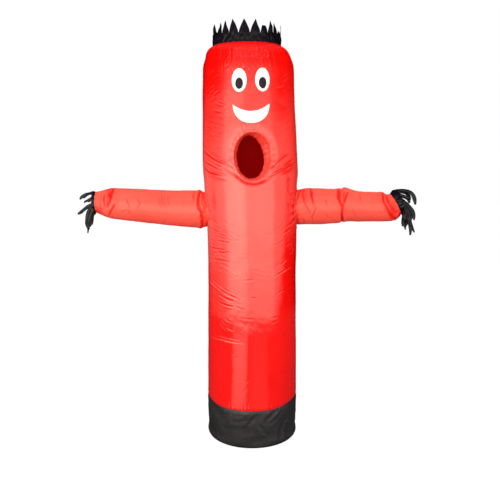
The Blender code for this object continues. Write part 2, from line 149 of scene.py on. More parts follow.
def stitchLines(start, across, along, seams):   # 1 on the thread of each seam, and how near the seam is
    threads, nearness = [], []
    for seam in seams:
        if "ring" in seam:
            (midX, midY), (halfX, halfY) = seam["ring"]
            x, y = (across - midX) * (1 / halfX), (along - midY) * (1 / halfY)
            away = ((x * x + y * y) ** 0.5 - 1.0) * halfY
            run = start.maths("ARCTAN2", y, x) * halfX
        elif "across" in seam:
            away, run = across - seam["across"], along
        else:
            away, run = along - seam["along"], across
        away = start.maths("ABSOLUTE", away)
        thread = start.maths("MAXIMUM", 1.0 - away * (1 / 0.0008), 0.0)
        pitch = start.maths("SINE", run * (2 * math.pi / 0.0042)) * 2.5 + 1.3
        threads.append(thread * start.maths("MAXIMUM", start.maths("MINIMUM", pitch, 1.0), 0.0))
        nearness.append(start.maths("MAXIMUM", 1.0 - away * (1 / 0.005), 0.0))
    while len(threads) > 1:
        threads.append(start.maths("MAXIMUM", threads.pop(0), threads.pop(0)))
        nearness.append(start.maths("MAXIMUM", nearness.pop(0), nearness.pop(0)))
    return threads[0], nearness[0]


def clothMaterial(name, cloth, seams=()):
    material, shader, start = startMaterial(name)
    flat = start.node("ShaderNodeUVMap", {"uv_map": "cloth"})
    place = start.node("ShaderNodeTexCoord", out=3)
    parts = flat.tree.nodes.new("ShaderNodeSeparateXYZ")
    flat.tree.links.new(flat.socket, parts.inputs[0])
    across, along = Wire(start.tree, parts.outputs[0]), Wire(start.tree, parts.outputs[1])

    def noiseOf(scale, detail, rough, turned=None, stretch=(1, 1, 1)):
        where = start.node("ShaderNodeMapping", inputs={
            "Vector": flat, "Rotation": (0, 0, turned or 0), "Scale": stretch})
        return start.node("ShaderNodeTexNoise", inputs={
            "Vector": where, "Scale": scale, "Detail": detail, "Roughness": rough})

    weft = start.maths("SINE", along * (2 * math.pi / cloth["thread"]))
    warp = start.maths("SINE", across * (2 * math.pi / cloth["thread"]))
    weave = weft * warp
    crinkle = noiseOf(cloth["crinkle"], 3, 0.55, 0.6, (1.0, 2.6, 1.0))
    creased = noiseOf(cloth["crinkle"] * 0.45, 2, 0.5, -0.5, (1.0, 3.2, 1.0))
    mottle = start.node("ShaderNodeTexNoise", inputs={
        "Vector": place, "Scale": 5.0, "Detail": 3.0, "Roughness": 0.5})
    tone = mottle * 0.7 + crinkle * 0.3
    tone = tone.node("ShaderNodeValToRGB", {"stops": ((0.32, 0.0), (0.68, 1.0))}, {"Fac": tone})
    haze = noiseOf(1.0, 2, 0.5, None, (10.0, 170.0, 1.0))    # the faint lines that the weft leaves in taffeta
    colour = tone.colours(cloth["dark"], cloth["light"])
    plug(cloth["rough"] + (crinkle - 0.5) * 0.10, shader, "Roughness")
    height = crinkle * cloth["crinkleDepth"] + creased * (cloth["crinkleDepth"] * 1.6)
    height = height + weave * cloth["weaveDepth"]
    streak = noiseOf(58.0, 2, 0.5, 0.35, (1.0, 3.6, 1.0)) * noiseOf(46.0, 1, 0.5, -0.4, (1.0, 3.2, 1.0))
    patches = noiseOf(6.0, 1, 0.5)
    patches = patches.node("ShaderNodeValToRGB", {"stops": ((0.40, 0.15), (0.62, 1.0))}, {"Fac": patches})
    height = height + haze * cloth["haze"] + streak * patches * (cloth["streak"] * 4)
    if seams:
        thread, nearness = stitchLines(start, across, along, seams)
        height = height + thread * 0.0003 - nearness * 0.0004
        colour = nearness.node("ShaderNodeMix", {"data_type": "RGBA"}, {
            "Factor": nearness * 0.2, 6: colour, 7: cloth["dark"]}, 2)
        colour = thread.node("ShaderNodeMix", {"data_type": "RGBA"}, {
            "Factor": thread * 0.8, 6: colour, 7: cloth["sewing"]}, 2)
    if "folded" in cloth:   # painted shade: where the cloth folds it is given a deeper, darker red, as if in shadow
        folded = start.node("ShaderNodeAttribute", {"attribute_name": "folded"}, out=2)
        colour = folded.node("ShaderNodeMix", {"data_type": "RGBA"},
                             {"Factor": folded, 6: colour, 7: cloth["folded"]}, 2)
    if "lowGrey" in cloth:   # the lowest few centimetres are mottled towards a lighter grey
        parts = start.node("ShaderNodeSeparateXYZ", inputs={"Vector": place}).socket.node
        low = Wire(start.tree, parts.outputs[2])
        lowGreyShare = start.maths("MAXIMUM", 1.0 - low * (1 / 0.05), 0.0) * mottle
        colour = lowGreyShare.node("ShaderNodeMix", {"data_type": "RGBA"}, {
            "Factor": lowGreyShare * 0.5, 6: colour, 7: cloth["lowGrey"]}, 2)
    plug(colour, shader, "Base Color")
    bump = start.node("ShaderNodeBump", inputs={"Strength": 1.0, "Distance": 1.0, "Height": height})
    plug(bump, shader, "Normal")
    shader.inputs["Specular IOR Level"].default_value = cloth["specular"]
    if cloth["coat"]:
        inside = start.node("ShaderNodeNewGeometry", out="Backfacing")
        plug((1 - inside) * cloth["coat"], shader, "Coat Weight")   # only the outer side is calendered smooth
    else:
        shader.inputs["Coat Weight"].default_value = 0.0
    shader.inputs["Coat Roughness"].default_value = cloth["coatRough"]
    shader.inputs["Coat IOR"].default_value = 1.9
    material.use_backface_culling = False
    return material


redCloth = {
    "dark": (0.84, 0.0016, 0.0010, 1), "light": (0.92, 0.0034, 0.0020, 1), "rough": 0.42, "specular": 0.04,
    "coat": 1.0, "coatRough": 0.13, "thread": 0.0016, "weaveDepth": 0.00003, "sewing": (0.76, 0.005, 0.004, 1),
    "crinkle": 30.0, "crinkleDepth": 0.0005, "haze": 0.00005, "streak": 0.00022,
}
# painted sheen: the sleeves get a light salmon red in place of the tube's red, standing in for the sheen they catch;
# their fold colour is the deep red of the painted shade in the folds
sleeveCloth = dict(redCloth, dark=(0.86, 0.074, 0.055, 1), light=(0.94, 0.098, 0.072, 1), coat=0.23,
                   sewing=(0.80, 0.040, 0.030, 1), folded=(0.86, 0.004, 0.002, 1))
# painted light: the funnel's base is a lighter red than the tube's, standing in for the light on its inner wall
funnelFabric = dict(redCloth, dark=(0.90, 0.045, 0.032, 1), light=(0.96, 0.085, 0.066, 1))
blackCloth = {
    "dark": (0.007, 0.005, 0.009, 1), "light": (0.013, 0.0095, 0.016, 1), "rough": 0.45, "specular": 0.16,
    "coat": 0.30, "coatRough": 0.26, "thread": 0.0016, "weaveDepth": 0.00003, "sewing": (0.024, 0.022, 0.027, 1),
    "crinkle": 34.0, "crinkleDepth": 0.0009, "haze": 0.00004, "streak": 0.0001,
}
# the hem's thread is darker than its cloth; along the top seam this dark thread is also a painted shadow line under
# the red seam
hemFabric = dict(blackCloth, dark=(0.011, 0.009, 0.012, 1), light=(0.023, 0.020, 0.025, 1), coat=0.46, coatRough=0.48,
                 lowGrey=(0.052, 0.049, 0.052, 1), sewing=(0.008, 0.006, 0.008, 1))
crownFabric = dict(blackCloth, dark=(0.0022, 0.0016, 0.0032, 1), light=(0.0060, 0.0048, 0.0085, 1), coat=0.16, specular=0.07,
                   sewing=(0.008, 0.007, 0.010, 1))
fringeFabric = dict(blackCloth, dark=(0.0008, 0.0007, 0.0026, 1), light=(0.0050, 0.0052, 0.0130, 1), coat=0.21, specular=0.07)
whiteCloth = {
    "dark": (0.84, 0.84, 0.84, 1), "light": (0.92, 0.92, 0.92, 1), "rough": 0.55, "specular": 0.3,
    "coat": 0.0, "coatRough": 0.2, "thread": 0.0016, "weaveDepth": 0.00002, "sewing": (0.70, 0.70, 0.71, 1),
    "crinkle": 26.0, "crinkleDepth": 0.0004, "haze": 0.00003, "streak": 0.00005,
}
pupilCloth = {
    "dark": (0.012, 0.009, 0.015, 1), "light": (0.028, 0.021, 0.031, 1), "rough": 0.55, "specular": 0.14,
    "coat": 0.0, "coatRough": 0.2, "thread": 0.0016, "weaveDepth": 0.00002, "sewing": (0.06, 0.05, 0.06, 1),
    "crinkle": 30.0, "crinkleDepth": 0.0004, "haze": 0.00003, "streak": 0.00005,
}


# cloth helpers

def smoothStep(low, high, x):
    t = np.clip((x - low) / (high - low), 0, 1)
    return t * t * (3 - 2 * t)


def readRows(rows, at, column):   # a column of a table of sections, read smoothly between its rows
    places = np.array([row[0] for row in rows])
    values = np.array([row[column] for row in rows])
    count = len(rows)
    low = np.maximum(np.arange(count) - 1, 0)
    high = np.minimum(np.arange(count) + 1, count - 1)
    slopes = (values[high] - values[low]) / (places[high] - places[low])
    at = np.clip(at, places[0], places[-1])
    i = np.clip(np.searchsorted(places, at, side="right") - 1, 0, count - 2)
    span = places[i + 1] - places[i]
    t = (at - places[i]) / span
    start = values[i] * (2 * t**3 - 3 * t**2 + 1) + slopes[i] * span * (t**3 - 2 * t**2 + t)
    return start + values[i + 1] * (3 * t**2 - 2 * t**3) + slopes[i + 1] * span * (t**3 - t**2)


def lumps(points, size, seed):   # soft uneven swelling, -1 to 1
    shift = Vector((seed * 1.7, seed * 2.3, seed * 0.9))
    return np.array([noise.noise(Vector(p) / size + shift) for p in points]) * 1.6


# how far all the folds press the cloth in; each is a groove between two low ridges
def press(across, up, folds):
    pressed = np.zeros_like(across)
    for fold in folds:
        run = np.array(fold["run"])
        width = fold["width"]
        reach = width * 3.2
        near = (across > run[:, 0].min() - reach) & (across < run[:, 0].max() + reach)
        near &= (up > run[:, 1].min() - reach) & (up < run[:, 1].max() + reach)
        if not near.any():
            continue
        x, y = across[near], up[near]
        best = np.full(x.shape, 9.0)
        travelled = np.zeros_like(x)
        done = 0.0
        for (ax, ay), (bx, by) in zip(run, run[1:]):
            length = math.hypot(bx - ax, by - ay)
            share = np.clip(((x - ax) * (bx - ax) + (y - ay) * (by - ay)) / length**2, 0, 1)
            away = np.hypot(x - ax - share * (bx - ax), y - ay - share * (by - ay))
            closer = away < best
            best = np.where(closer, away, best)
            travelled = np.where(closer, done + share * length, travelled)
            done += length
        steps = best / width
        groove = np.exp(-steps**2) - fold.get("ridge", 0.45) * np.exp(-((steps - 1.5) / 0.8) ** 2)
        fade = np.sin(math.pi * np.clip(travelled / done, 0.02, 0.98)) ** fold.get("fade", 0.5)
        pressed[near] += fold["depth"] * groove * fade
    return pressed


def scatter(zone):   # many short folds over a patch of cloth, all leaning much the same way
    dice = random.Random(zone["seed"])
    folds = []
    for _ in range(zone["count"]):
        x = dice.uniform(*zone["across"])
        y = dice.uniform(*zone["up"])
        lean = math.radians(dice.gauss(zone["lean"], zone["spread"]))
        length = dice.uniform(*zone["length"])
        bow = dice.uniform(-0.10, 0.10) * length
        run = []
        for t in (-0.5, -0.17, 0.17, 0.5):
            side = bow * (1 - 4 * t * t)
            run.append((x + t * length * math.cos(lean) - side * math.sin(lean),
                        y + t * length * math.sin(lean) + side * math.cos(lean)))
        size = dice.uniform(0.6, 1.0)
        width = zone["width"] * dice.uniform(0.75, 1.2)
        folds.append({"run": run, "depth": zone["depth"] * size, "width": width})
    return folds


def cutCloth(width, length, across, up):   # a flat rectangle of cloth with its UV in metres
    bm = bmesh.new()
    uvLayer = bm.loops.layers.uv.new("cloth")
    bmesh.ops.create_grid(bm, x_segments=across, y_segments=up, size=0.5)
    bmesh.ops.translate(bm, verts=bm.verts, vec=(0.5, 0.5, 0))
    bmesh.ops.scale(bm, verts=bm.verts, vec=(width, length, 1))
    for face in bm.faces:
        for loop in face.loops:
            loop[uvLayer].uv = loop.vert.co.xy
    return bm


def flatPlaces(bm):
    return np.array([v.co for v in bm.verts])


def place(bm, points):
    for vert, point in zip(bm.verts, points):
        vert.co = point


def finishCloth(name, bm, material, nodes, thickness=None, merge=2e-5):
    if merge:
        bmesh.ops.remove_doubles(bm, verts=bm.verts, dist=merge)
    mesh = bpy.data.meshes.new(name)
    bm.to_mesh(mesh)
    bm.free()
    mesh.shade_smooth()
    mesh.materials.append(material)
    piece = bpy.data.objects.new(name, mesh)
    scene.collection.objects.link(piece)
    if thickness:
        solid = piece.modifiers.new("thickness", "SOLIDIFY")
        solid.thickness = thickness
        solid.offset = -1
    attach(piece, "root")
    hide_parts(*nodes)
    print(name, len(mesh.polygons), "faces")
    return piece


def openHole(bm, shareOf, snapTo):
    # cuts the cloth away where shareOf is under 1, then draws the edge of the hole onto its true line
    places = flatPlaces(bm)
    share = shareOf(places[:, 0], places[:, 1])
    bm.verts.ensure_lookup_table()
    gone = [bm.verts[i] for i in np.nonzero(share < 1.0)[0]]
    rim = {v for g in gone for e in g.link_edges for v in e.verts} - set(gone)
    rim = list(rim)
    bmesh.ops.delete(bm, geom=gone, context="VERTS")
    rim = [v for v in rim if v.is_valid]
    for vert in rim:
        x, y = snapTo(vert.co.x, vert.co.y)
        vert.co = (x, y, 0)
    places = flatPlaces(bm)
    share = shareOf(places[:, 0], places[:, 1])
    bm.verts.ensure_lookup_table()
    close = [bm.verts[i] for i in np.nonzero((share > 1.001) & (share < 1.5))[0]]
    close = [v for v in close if v not in set(rim) and not v.is_boundary]
    for _ in range(4):
        bmesh.ops.smooth_vert(bm, verts=close, factor=0.5, use_axis_x=True, use_axis_y=True)


# the tube

tube = {
    "halves": (("frontCloth", 0.0, 200), ("backCloth", math.pi, 104)), "rows": 470,
    "seam": 0.217, "seamDip": 0.0175,
    "dipMiddle": math.radians(-7), "dipReach": (math.radians(28), math.radians(78)),
    "shoulder": 1.855, "rise": 0.094, "reach": 0.090, "shoulderTurn": math.radians(67.7), "shoulderCloth": 0.113,
    "lipRadius": 0.1600, "lip": 0.0085,
    "sections": (   # height, radius, lean of the middle
        (0.10, 0.2275, 0.000), (0.22, 0.2270, 0.000), (0.60, 0.2230, 0.000), (0.89, 0.2200, 0.000),
        (1.04, 0.2225, -0.001), (1.16, 0.2265, -0.004), (1.28, 0.2280, -0.0075), (1.35, 0.2330, -0.0085),
        (1.47, 0.2305, -0.012), (1.57, 0.2270, -0.0145), (1.69, 0.2220, -0.018), (1.855, 0.2190, -0.0195),
        (1.957, 0.2190, -0.0262),
    ),
}
faceOpening = {"middle": (0.0012, 1.426), "half": (0.090, 0.112), "draw": 0.0065, "drawWidth": 0.20}
armHoles = ({"side": -1, "height": 1.163}, {"side": 1, "height": 1.1745})
armHoleRadius = 0.0865

tubeTop = tube["shoulder"] - tube["seam"]
tubeLength = tubeTop + tube["shoulderCloth"] + tube["lip"]
bodyRadius = 0.2275   # what the cloth of the tube and of the hem is cut for
clothAround = 2 * math.pi * bodyRadius
fringeCloth = 0.0009   # how thick the cloth of the crown and the fringes is
seamIn = 0.0055   # a row of stitches lies this far inside an edge


def tubeProfile(s):   # radius, height and outward lean of the cloth at a length up the tube from the hem seam
    turn = np.clip((s - tubeTop) / tube["shoulderCloth"], 0, 1) * tube["shoulderTurn"]
    straight = np.minimum(s, tubeTop) + tube["seam"]
    lip = np.clip((s - tubeTop - tube["shoulderCloth"]) / tube["lip"], 0, 1)
    radius = readRows(tube["sections"], straight, 1) - tube["reach"] * (1 - np.cos(turn))
    radius = radius + (tube["lipRadius"] - radius) * smoothStep(0, 0.4, lip)
    height = straight + tube["rise"] * np.sin(turn) + tube["lip"] * lip
    return radius, height, turn * (1 - lip)


def seamDip(angle):   # the hem seam hangs lower across the front
    return tube["seamDip"] * (1 - smoothStep(*tube["dipReach"], np.abs(angle - tube["dipMiddle"])))


def openingShare(angle, height):
    radius = readRows(tube["sections"], height, 1)
    lean = readRows(tube["sections"], height, 2)
    across = radius * np.sin(angle) + lean
    share = np.hypot((across - faceOpening["middle"][0]) / faceOpening["half"][0],
                     (height - faceOpening["middle"][1]) / faceOpening["half"][1])
    return np.where(np.cos(angle) > 0.2, share, 9.0)


def armHoleShare(angle, height, hole):
    radius = readRows(tube["sections"], height, 1)
    share = np.hypot(radius * np.cos(angle), height - hole["height"]) / armHoleRadius
    return np.where(np.sin(angle) * hole["side"] > 0.2, share, 9.0)


def degreesToCloth(run):   # measured places are degrees from the front and height
    return [(math.radians(a) * float(readRows(tube["sections"], h, 1)), h) for a, h in run]


measuredFolds = (   # the creases that show in the photograph: degrees from the front and height
    {"depth": 0.0028, "width": 0.013, "ridge": 0.35, "fade": 0.5, "run": (
        (-52, 1.408), (-36, 1.392), (-20, 1.352), (-5, 1.318), (3, 1.312), (14, 1.318), (26, 1.341), (45, 1.358))},
    {"depth": 0.0028, "width": 0.0062, "run": ((-76, 1.462), (-65, 1.447), (-43, 1.411), (-25, 1.390), (-13, 1.354))},
    {"depth": 0.0028, "width": 0.0062, "run": ((-80, 1.386), (-67, 1.371), (-54, 1.352), (-40, 1.346), (-30, 1.340))},
    {"depth": 0.0022, "width": 0.0052, "run": ((-70, 1.408), (-52, 1.388), (-36, 1.366))},
    {"depth": 0.0020, "width": 0.0052, "run": ((-60, 1.340), (-44, 1.322), (-26, 1.308))},
    {"depth": 0.0032, "width": 0.0060, "run": ((86, 1.402), (50, 1.384), (35, 1.358), (21, 1.336))},
    {"depth": 0.0024, "width": 0.0048, "run": ((52, 1.450), (34, 1.406), (23, 1.371))},
    {"depth": 0.0028, "width": 0.0048, "run": ((68, 1.386), (56, 1.366), (46, 1.352), (38, 1.346))},
    {"depth": 0.0025, "width": 0.0045, "run": ((64, 1.424), (48, 1.398), (38, 1.376))},
    {"depth": 0.0014, "width": 0.0042, "run": ((-66, 1.146), (-47, 1.125))},
    {"depth": 0.0014, "width": 0.0042, "run": ((-62, 1.128), (-46, 1.109))},
    {"depth": 0.0014, "width": 0.0042, "run": ((-60, 1.080), (-42, 1.064))},
    {"depth": 0.0012, "width": 0.0042, "run": ((-54, 1.062), (-33, 1.049))},
    {"depth": 0.0014, "width": 0.0042, "run": ((-48, 1.047), (-31, 1.035))},
    {"depth": 0.0013, "width": 0.0042, "run": ((-47, 1.025), (-25, 1.021))},
    {"depth": 0.0017, "width": 0.0042, "run": ((-66, 0.986), (-52, 0.984), (-36, 0.985))},
    {"depth": 0.0017, "width": 0.0042, "run": ((-62, 0.982), (-40, 0.970), (-29, 0.977))},
    {"depth": 0.0013, "width": 0.0042, "run": ((-56, 0.966), (-34, 0.966))},
    {"depth": 0.0020, "width": 0.0045, "run": ((-58, 0.931), (-30, 0.932))},
    {"depth": 0.0029, "width": 0.0048, "ridge": 0.6, "run": (
        (-72, 0.820), (-60, 0.808), (-46, 0.791), (-32, 0.770), (-20, 0.757))},
    {"depth": 0.0022, "width": 0.0046, "ridge": 0.6, "run": ((-48, 0.763), (-36, 0.750), (-25, 0.740))},
    {"depth": 0.0016, "width": 0.0045, "run": ((-44, 0.724), (-34, 0.716), (-24, 0.714))},
    {"depth": 0.0014, "width": 0.0044, "ridge": 0.7, "run": (
        (-68, 0.546), (-56, 0.541), (-42, 0.545), (-26, 0.541), (-10, 0.540))},
    {"depth": 0.0008, "width": 0.0040, "run": ((-11, 0.843), (2, 0.850))},
    {"depth": 0.0006, "width": 0.0040, "run": ((-2, 0.760), (5, 0.762))},
    {"depth": 0.0012, "width": 0.0044, "run": ((29, 0.861), (43, 0.881), (64, 0.898))},
    {"depth": 0.0030, "width": 0.0050, "run": ((70, 1.272), (62, 1.250), (54, 1.236))},
    {"depth": 0.0030, "width": 0.0050, "run": ((76, 1.255), (66, 1.230), (58, 1.214))},
)
foldZones = (   # patches of small folds: across is along the cloth from the front's middle
    {"seed": 21, "count": 52, "across": (-0.115, 0.105), "up": (1.800, 1.920), "lean": 86, "spread": 13,
     "length": (0.02, 0.05), "depth": 0.0012, "width": 0.0042},
    {"seed": 3, "count": 34, "across": (-0.35, -0.15), "up": (1.68, 1.82), "lean": 24, "spread": 9,
     "length": (0.02, 0.06), "depth": 0.0005, "width": 0.0042},
    {"seed": 12, "count": 44, "across": (-0.35, -0.13), "up": (1.46, 1.67), "lean": -18, "spread": 9,
     "length": (0.02, 0.06), "depth": 0.0006, "width": 0.0042},
    {"seed": 4, "count": 30, "across": (0.16, 0.35), "up": (1.44, 1.80), "lean": 24, "spread": 10,
     "length": (0.03, 0.07), "depth": 0.0005, "width": 0.0046},
    {"seed": 5, "count": 60, "across": (-0.33, -0.10), "up": (0.86, 1.24), "lean": -20, "spread": 9,
     "length": (0.02, 0.07), "depth": 0.0008, "width": 0.0038},
    {"seed": 13, "count": 26, "across": (-0.33, -0.09), "up": (0.58, 0.84), "lean": -20, "spread": 12,
     "length": (0.03, 0.08), "depth": 0.0008, "width": 0.0045},
    {"seed": 6, "count": 34, "across": (0.12, 0.34), "up": (0.70, 1.10), "lean": 24, "spread": 10,
     "length": (0.03, 0.07), "depth": 0.0006, "width": 0.0046},
    {"seed": 7, "count": 16, "across": (-0.09, 0.12), "up": (0.55, 1.28), "lean": 0, "spread": 12,
     "length": (0.03, 0.09), "depth": 0.0004, "width": 0.0050},
    {"seed": 8, "count": 10, "across": (-0.03, 0.05), "up": (1.545, 1.572), "lean": 90, "spread": 16,
     "length": (0.018, 0.034), "depth": 0.0011, "width": 0.0045},
    {"seed": 9, "count": 22, "across": (-0.34, 0.34), "up": (0.24, 0.56), "lean": 4, "spread": 24,
     "length": (0.03, 0.09), "depth": 0.0005, "width": 0.0060},
    {"seed": 10, "count": 70, "across": (0.36, 0.70), "up": (0.30, 1.80), "lean": 8, "spread": 26,
     "length": (0.04, 0.12), "depth": 0.0014, "width": 0.0055},
    {"seed": 11, "count": 70, "across": (-0.70, -0.36), "up": (0.30, 1.80), "lean": -8, "spread": 26,
     "length": (0.04, 0.12), "depth": 0.0014, "width": 0.0055},
)
tubeFolds = [dict(fold, run=degreesToCloth(fold["run"])) for fold in measuredFolds]
for zone in foldZones:
    tubeFolds += scatter(zone)

pleatDice = random.Random(21)
crownPleats = [   # short tucks that run down from the crown's seam: angle, depth, width, how far down
    (math.radians(step * 4.4 + pleatDice.uniform(-1.4, 1.4)), pleatDice.uniform(0.0010, 0.0024),
     math.radians(pleatDice.uniform(0.9, 1.5)), pleatDice.uniform(0.045, 0.105))
    for step in range(-41, 41)
]
crownPleats += [   # softer folds that reach further down the forehead
    (math.radians(step * 4.1 + pleatDice.uniform(-1.2, 1.2)), pleatDice.uniform(0.0016, 0.0030),
     math.radians(pleatDice.uniform(1.4, 2.3)), pleatDice.uniform(0.115, 0.185))
    for step in range(-13, 13)
]


def tubeSwell(angle, s):   # how far the cloth stands out from its plain round shape
    radius, height, turn = tubeProfile(s)
    out = -press(angle * radius, height, tubeFolds)
    share = openingShare(angle, height)
    round1 = np.arctan2(height - faceOpening["middle"][1], angle * radius)
    out = out - faceOpening["draw"] * np.exp(-(np.maximum(share - 1, 0) / faceOpening["drawWidth"]) ** 2)
    pucker = np.cos(round1 * 21 + 2 * np.sin(round1 * 3)) * np.exp(-((share - 1.06) / 0.16) ** 2)
    out = out + 0.0005 * pucker
    out = out + 0.0008 * np.exp(-((share - 1.035) / 0.026) ** 2)
    out = out - 0.0004 * np.exp(-((share - 1.11) / 0.022) ** 2)
    # the shoulder slopes
    out = out - (0.0078 - 0.0016 * np.sin(angle)) * np.exp(-((height - 1.886) / 0.029) ** 2)
    toRight = np.exp(-(((round1 - math.radians(10)) / math.radians(50)) ** 2))
    out = out - 0.0010 * toRight * np.exp(-((share - 1.24) / 0.030) ** 2)
    for hole in armHoles:
        around = armHoleShare(angle, height, hole)
        dip = np.exp(-(np.maximum(around - 1, 0) / 0.12) ** 2)
        spoke = np.arctan2(height - hole["height"], radius * np.cos(angle))
        tuck = np.cos(spoke * 17 + 2.5 * np.sin(spoke * 2 + hole["side"]))
        out = out - 0.002 * dip + 0.0020 * tuck * np.exp(-(np.maximum(around - 1, 0) / 0.38) ** 2)
    fromTop = tubeLength - tube["lip"] - s
    for centre, depth, width, drop in crownPleats:
        away = (angle - centre) / width
        near = (np.abs(away) < 4) & (fromTop < drop)
        if near.any():
            a = away[near]
            fade = (1 - np.clip(fromTop[near] / drop, 0, 1)) ** 0.8 * smoothStep(0.004, 0.034, fromTop[near])
            out[near] -= depth * fade * (np.exp(-a**2) - 0.45 * np.exp(-((np.abs(a) - 1.6) / 0.8) ** 2))
    out = out - 0.0020 * np.exp(-(s / 0.007) ** 2)
    toSide = np.abs(np.abs(angle) - math.pi / 2) * radius   # the two side seams
    sideSeam = smoothStep(0, 0.02, s) * smoothStep(0, 0.04, tubeLength - s)
    out = out - 0.0006 * np.exp(-(toSide / 0.0035) ** 2) * sideSeam
    sideTucks = np.cos(height * 190 + 3 * np.sin(height * 23))
    out = out + 0.0001 * sideTucks * np.exp(-(toSide / 0.022) ** 2) * sideSeam
    out = out + 0.0008 * np.cos(angle * 74 + 3 * np.sin(angle * 9)) * np.exp(-(s / 0.030) ** 2)
    spots = np.stack([0.23 * np.sin(angle), 0.23 * np.cos(angle), height], axis=1)
    calm = smoothStep(0, 0.06, fromTop) * smoothStep(0, 0.05, s)
    uneven = 0.0009 * lumps(spots, 0.16, 1) + 0.0004 * lumps(spots, 0.06, 2) + 0.00012 * lumps(spots, 0.022, 3)
    out = out + uneven * calm
    return out


def tubePlaces(angle, s, out=0.0):
    radius, height, turn = tubeProfile(s)
    swell = tubeSwell(angle, s) + out
    lean = readRows(tube["sections"], height, 2)
    height = height - seamDip(angle) * (1 - smoothStep(0, 0.30, s))
    radius = radius + swell * np.cos(turn)
    height = height + swell * np.sin(turn)
    return np.stack([lean + radius * np.sin(angle), -radius * np.cos(angle), height], axis=1)


def makeHalf(name, centre, columns):   # the tube is a front and a back half, sewn together down its sides
    half = clothAround / 4
    turnOf = 2 * math.pi / clothAround
    bm = cutCloth(clothAround / 2, tubeLength, columns, tube["rows"])

    def toAngle(x):
        return (x - half) * turnOf + centre

    def along(height):
        radius = float(readRows(tube["sections"], height, 1))
        return radius, float(readRows(tube["sections"], height, 2))

    def faceShare(x, y):
        return openingShare(toAngle(x), y + tube["seam"])

    def faceSnap(x, y):
        height = y + tube["seam"]
        radius, lean = along(height)
        midX, midZ = faceOpening["middle"]
        across = radius * math.sin(toAngle(x)) + lean
        share = math.hypot((across - midX) / faceOpening["half"][0], (height - midZ) / faceOpening["half"][1])
        across = midX + (across - midX) / share
        height = midZ + (height - midZ) / share
        radius, lean = along(height)
        return half + math.asin((across - lean) / radius) / turnOf, height - tube["seam"]

    if centre == 0:
        openHole(bm, faceShare, faceSnap)
    for hole in armHoles:
        def armShare(x, y, hole=hole):
            return armHoleShare(toAngle(x), y + tube["seam"], hole)

        def armSnap(x, y, hole=hole):
            height = y + tube["seam"]
            depth = along(height)[0] * math.cos(toAngle(x))
            share = math.hypot(depth, height - hole["height"]) / armHoleRadius
            depth, height = depth / share, hole["height"] + (height - hole["height"]) / share
            turn = math.acos(depth / along(height)[0]) * hole["side"]
            turn = turn if centre == 0 else (turn - centre) % (2 * math.pi)
            turn = turn - 2 * math.pi if turn > math.pi else turn
            return half + turn / turnOf, height - tube["seam"]

        openHole(bm, armShare, armSnap)
    flat = flatPlaces(bm)
    angle = toAngle(flat[:, 0])
    angle = np.where(angle > math.pi, angle - 2 * math.pi, angle)
    place(bm, tubePlaces(angle, flat[:, 1]))
    edgeHoles = armHoles if centre == 0 else armHoles[::-1]
    seams = [{"across": seamIn}, {"across": 2 * half - seamIn}, {"along": seamIn},
             {"along": tubeTop + tube["shoulderCloth"] - 0.004}]
    seams += [{"ring": ((edge, hole["height"] - tube["seam"]), (armHoleRadius + 0.006, armHoleRadius + 0.006))}
              for edge, hole in zip((0.0, 2 * half), edgeHoles)]
    if centre == 0:
        midX, midZ = faceOpening["middle"]
        seams.append({"ring": ((half + (midX + 0.011) * 0.985, midZ - tube["seam"]),
                               (faceOpening["half"][0] + 0.006, faceOpening["half"][1] + 0.006))})
    return finishCloth(name, bm, clothMaterial(name, redCloth, seams), ["tube"])


frontCloth, backCloth = (makeHalf(*half) for half in tube["halves"])


# hem band

hem = {
    "threads": (264, 64), "seamGap": 0.0004,
    "sections": (   # length along the cloth from the leg opening, radius, height
        (0.000, 0.135, 0.0006), (0.035, 0.170, 0.0006), (0.070, 0.205, 0.0008), (0.082, 0.2165, 0.004),
        (0.096, 0.2255, 0.014), (0.115, 0.2280, 0.031), (0.144, 0.2258, 0.060), (0.194, 0.2272, 0.110),
        (0.249, 0.2278, 0.165), (0.301, 0.2270, 0.217),
    ),
    "zones": (
        {"seed": 31, "count": 44, "across": (-0.72, 0.72), "up": (0.10, 0.28), "lean": 62, "spread": 34,
         "length": (0.05, 0.13), "depth": 0.0026, "width": 0.0120},
        {"seed": 32, "count": 60, "across": (-0.72, 0.72), "up": (0.09, 0.29), "lean": 30, "spread": 50,
         "length": (0.02, 0.07), "depth": 0.0012, "width": 0.0065},
    ),
}


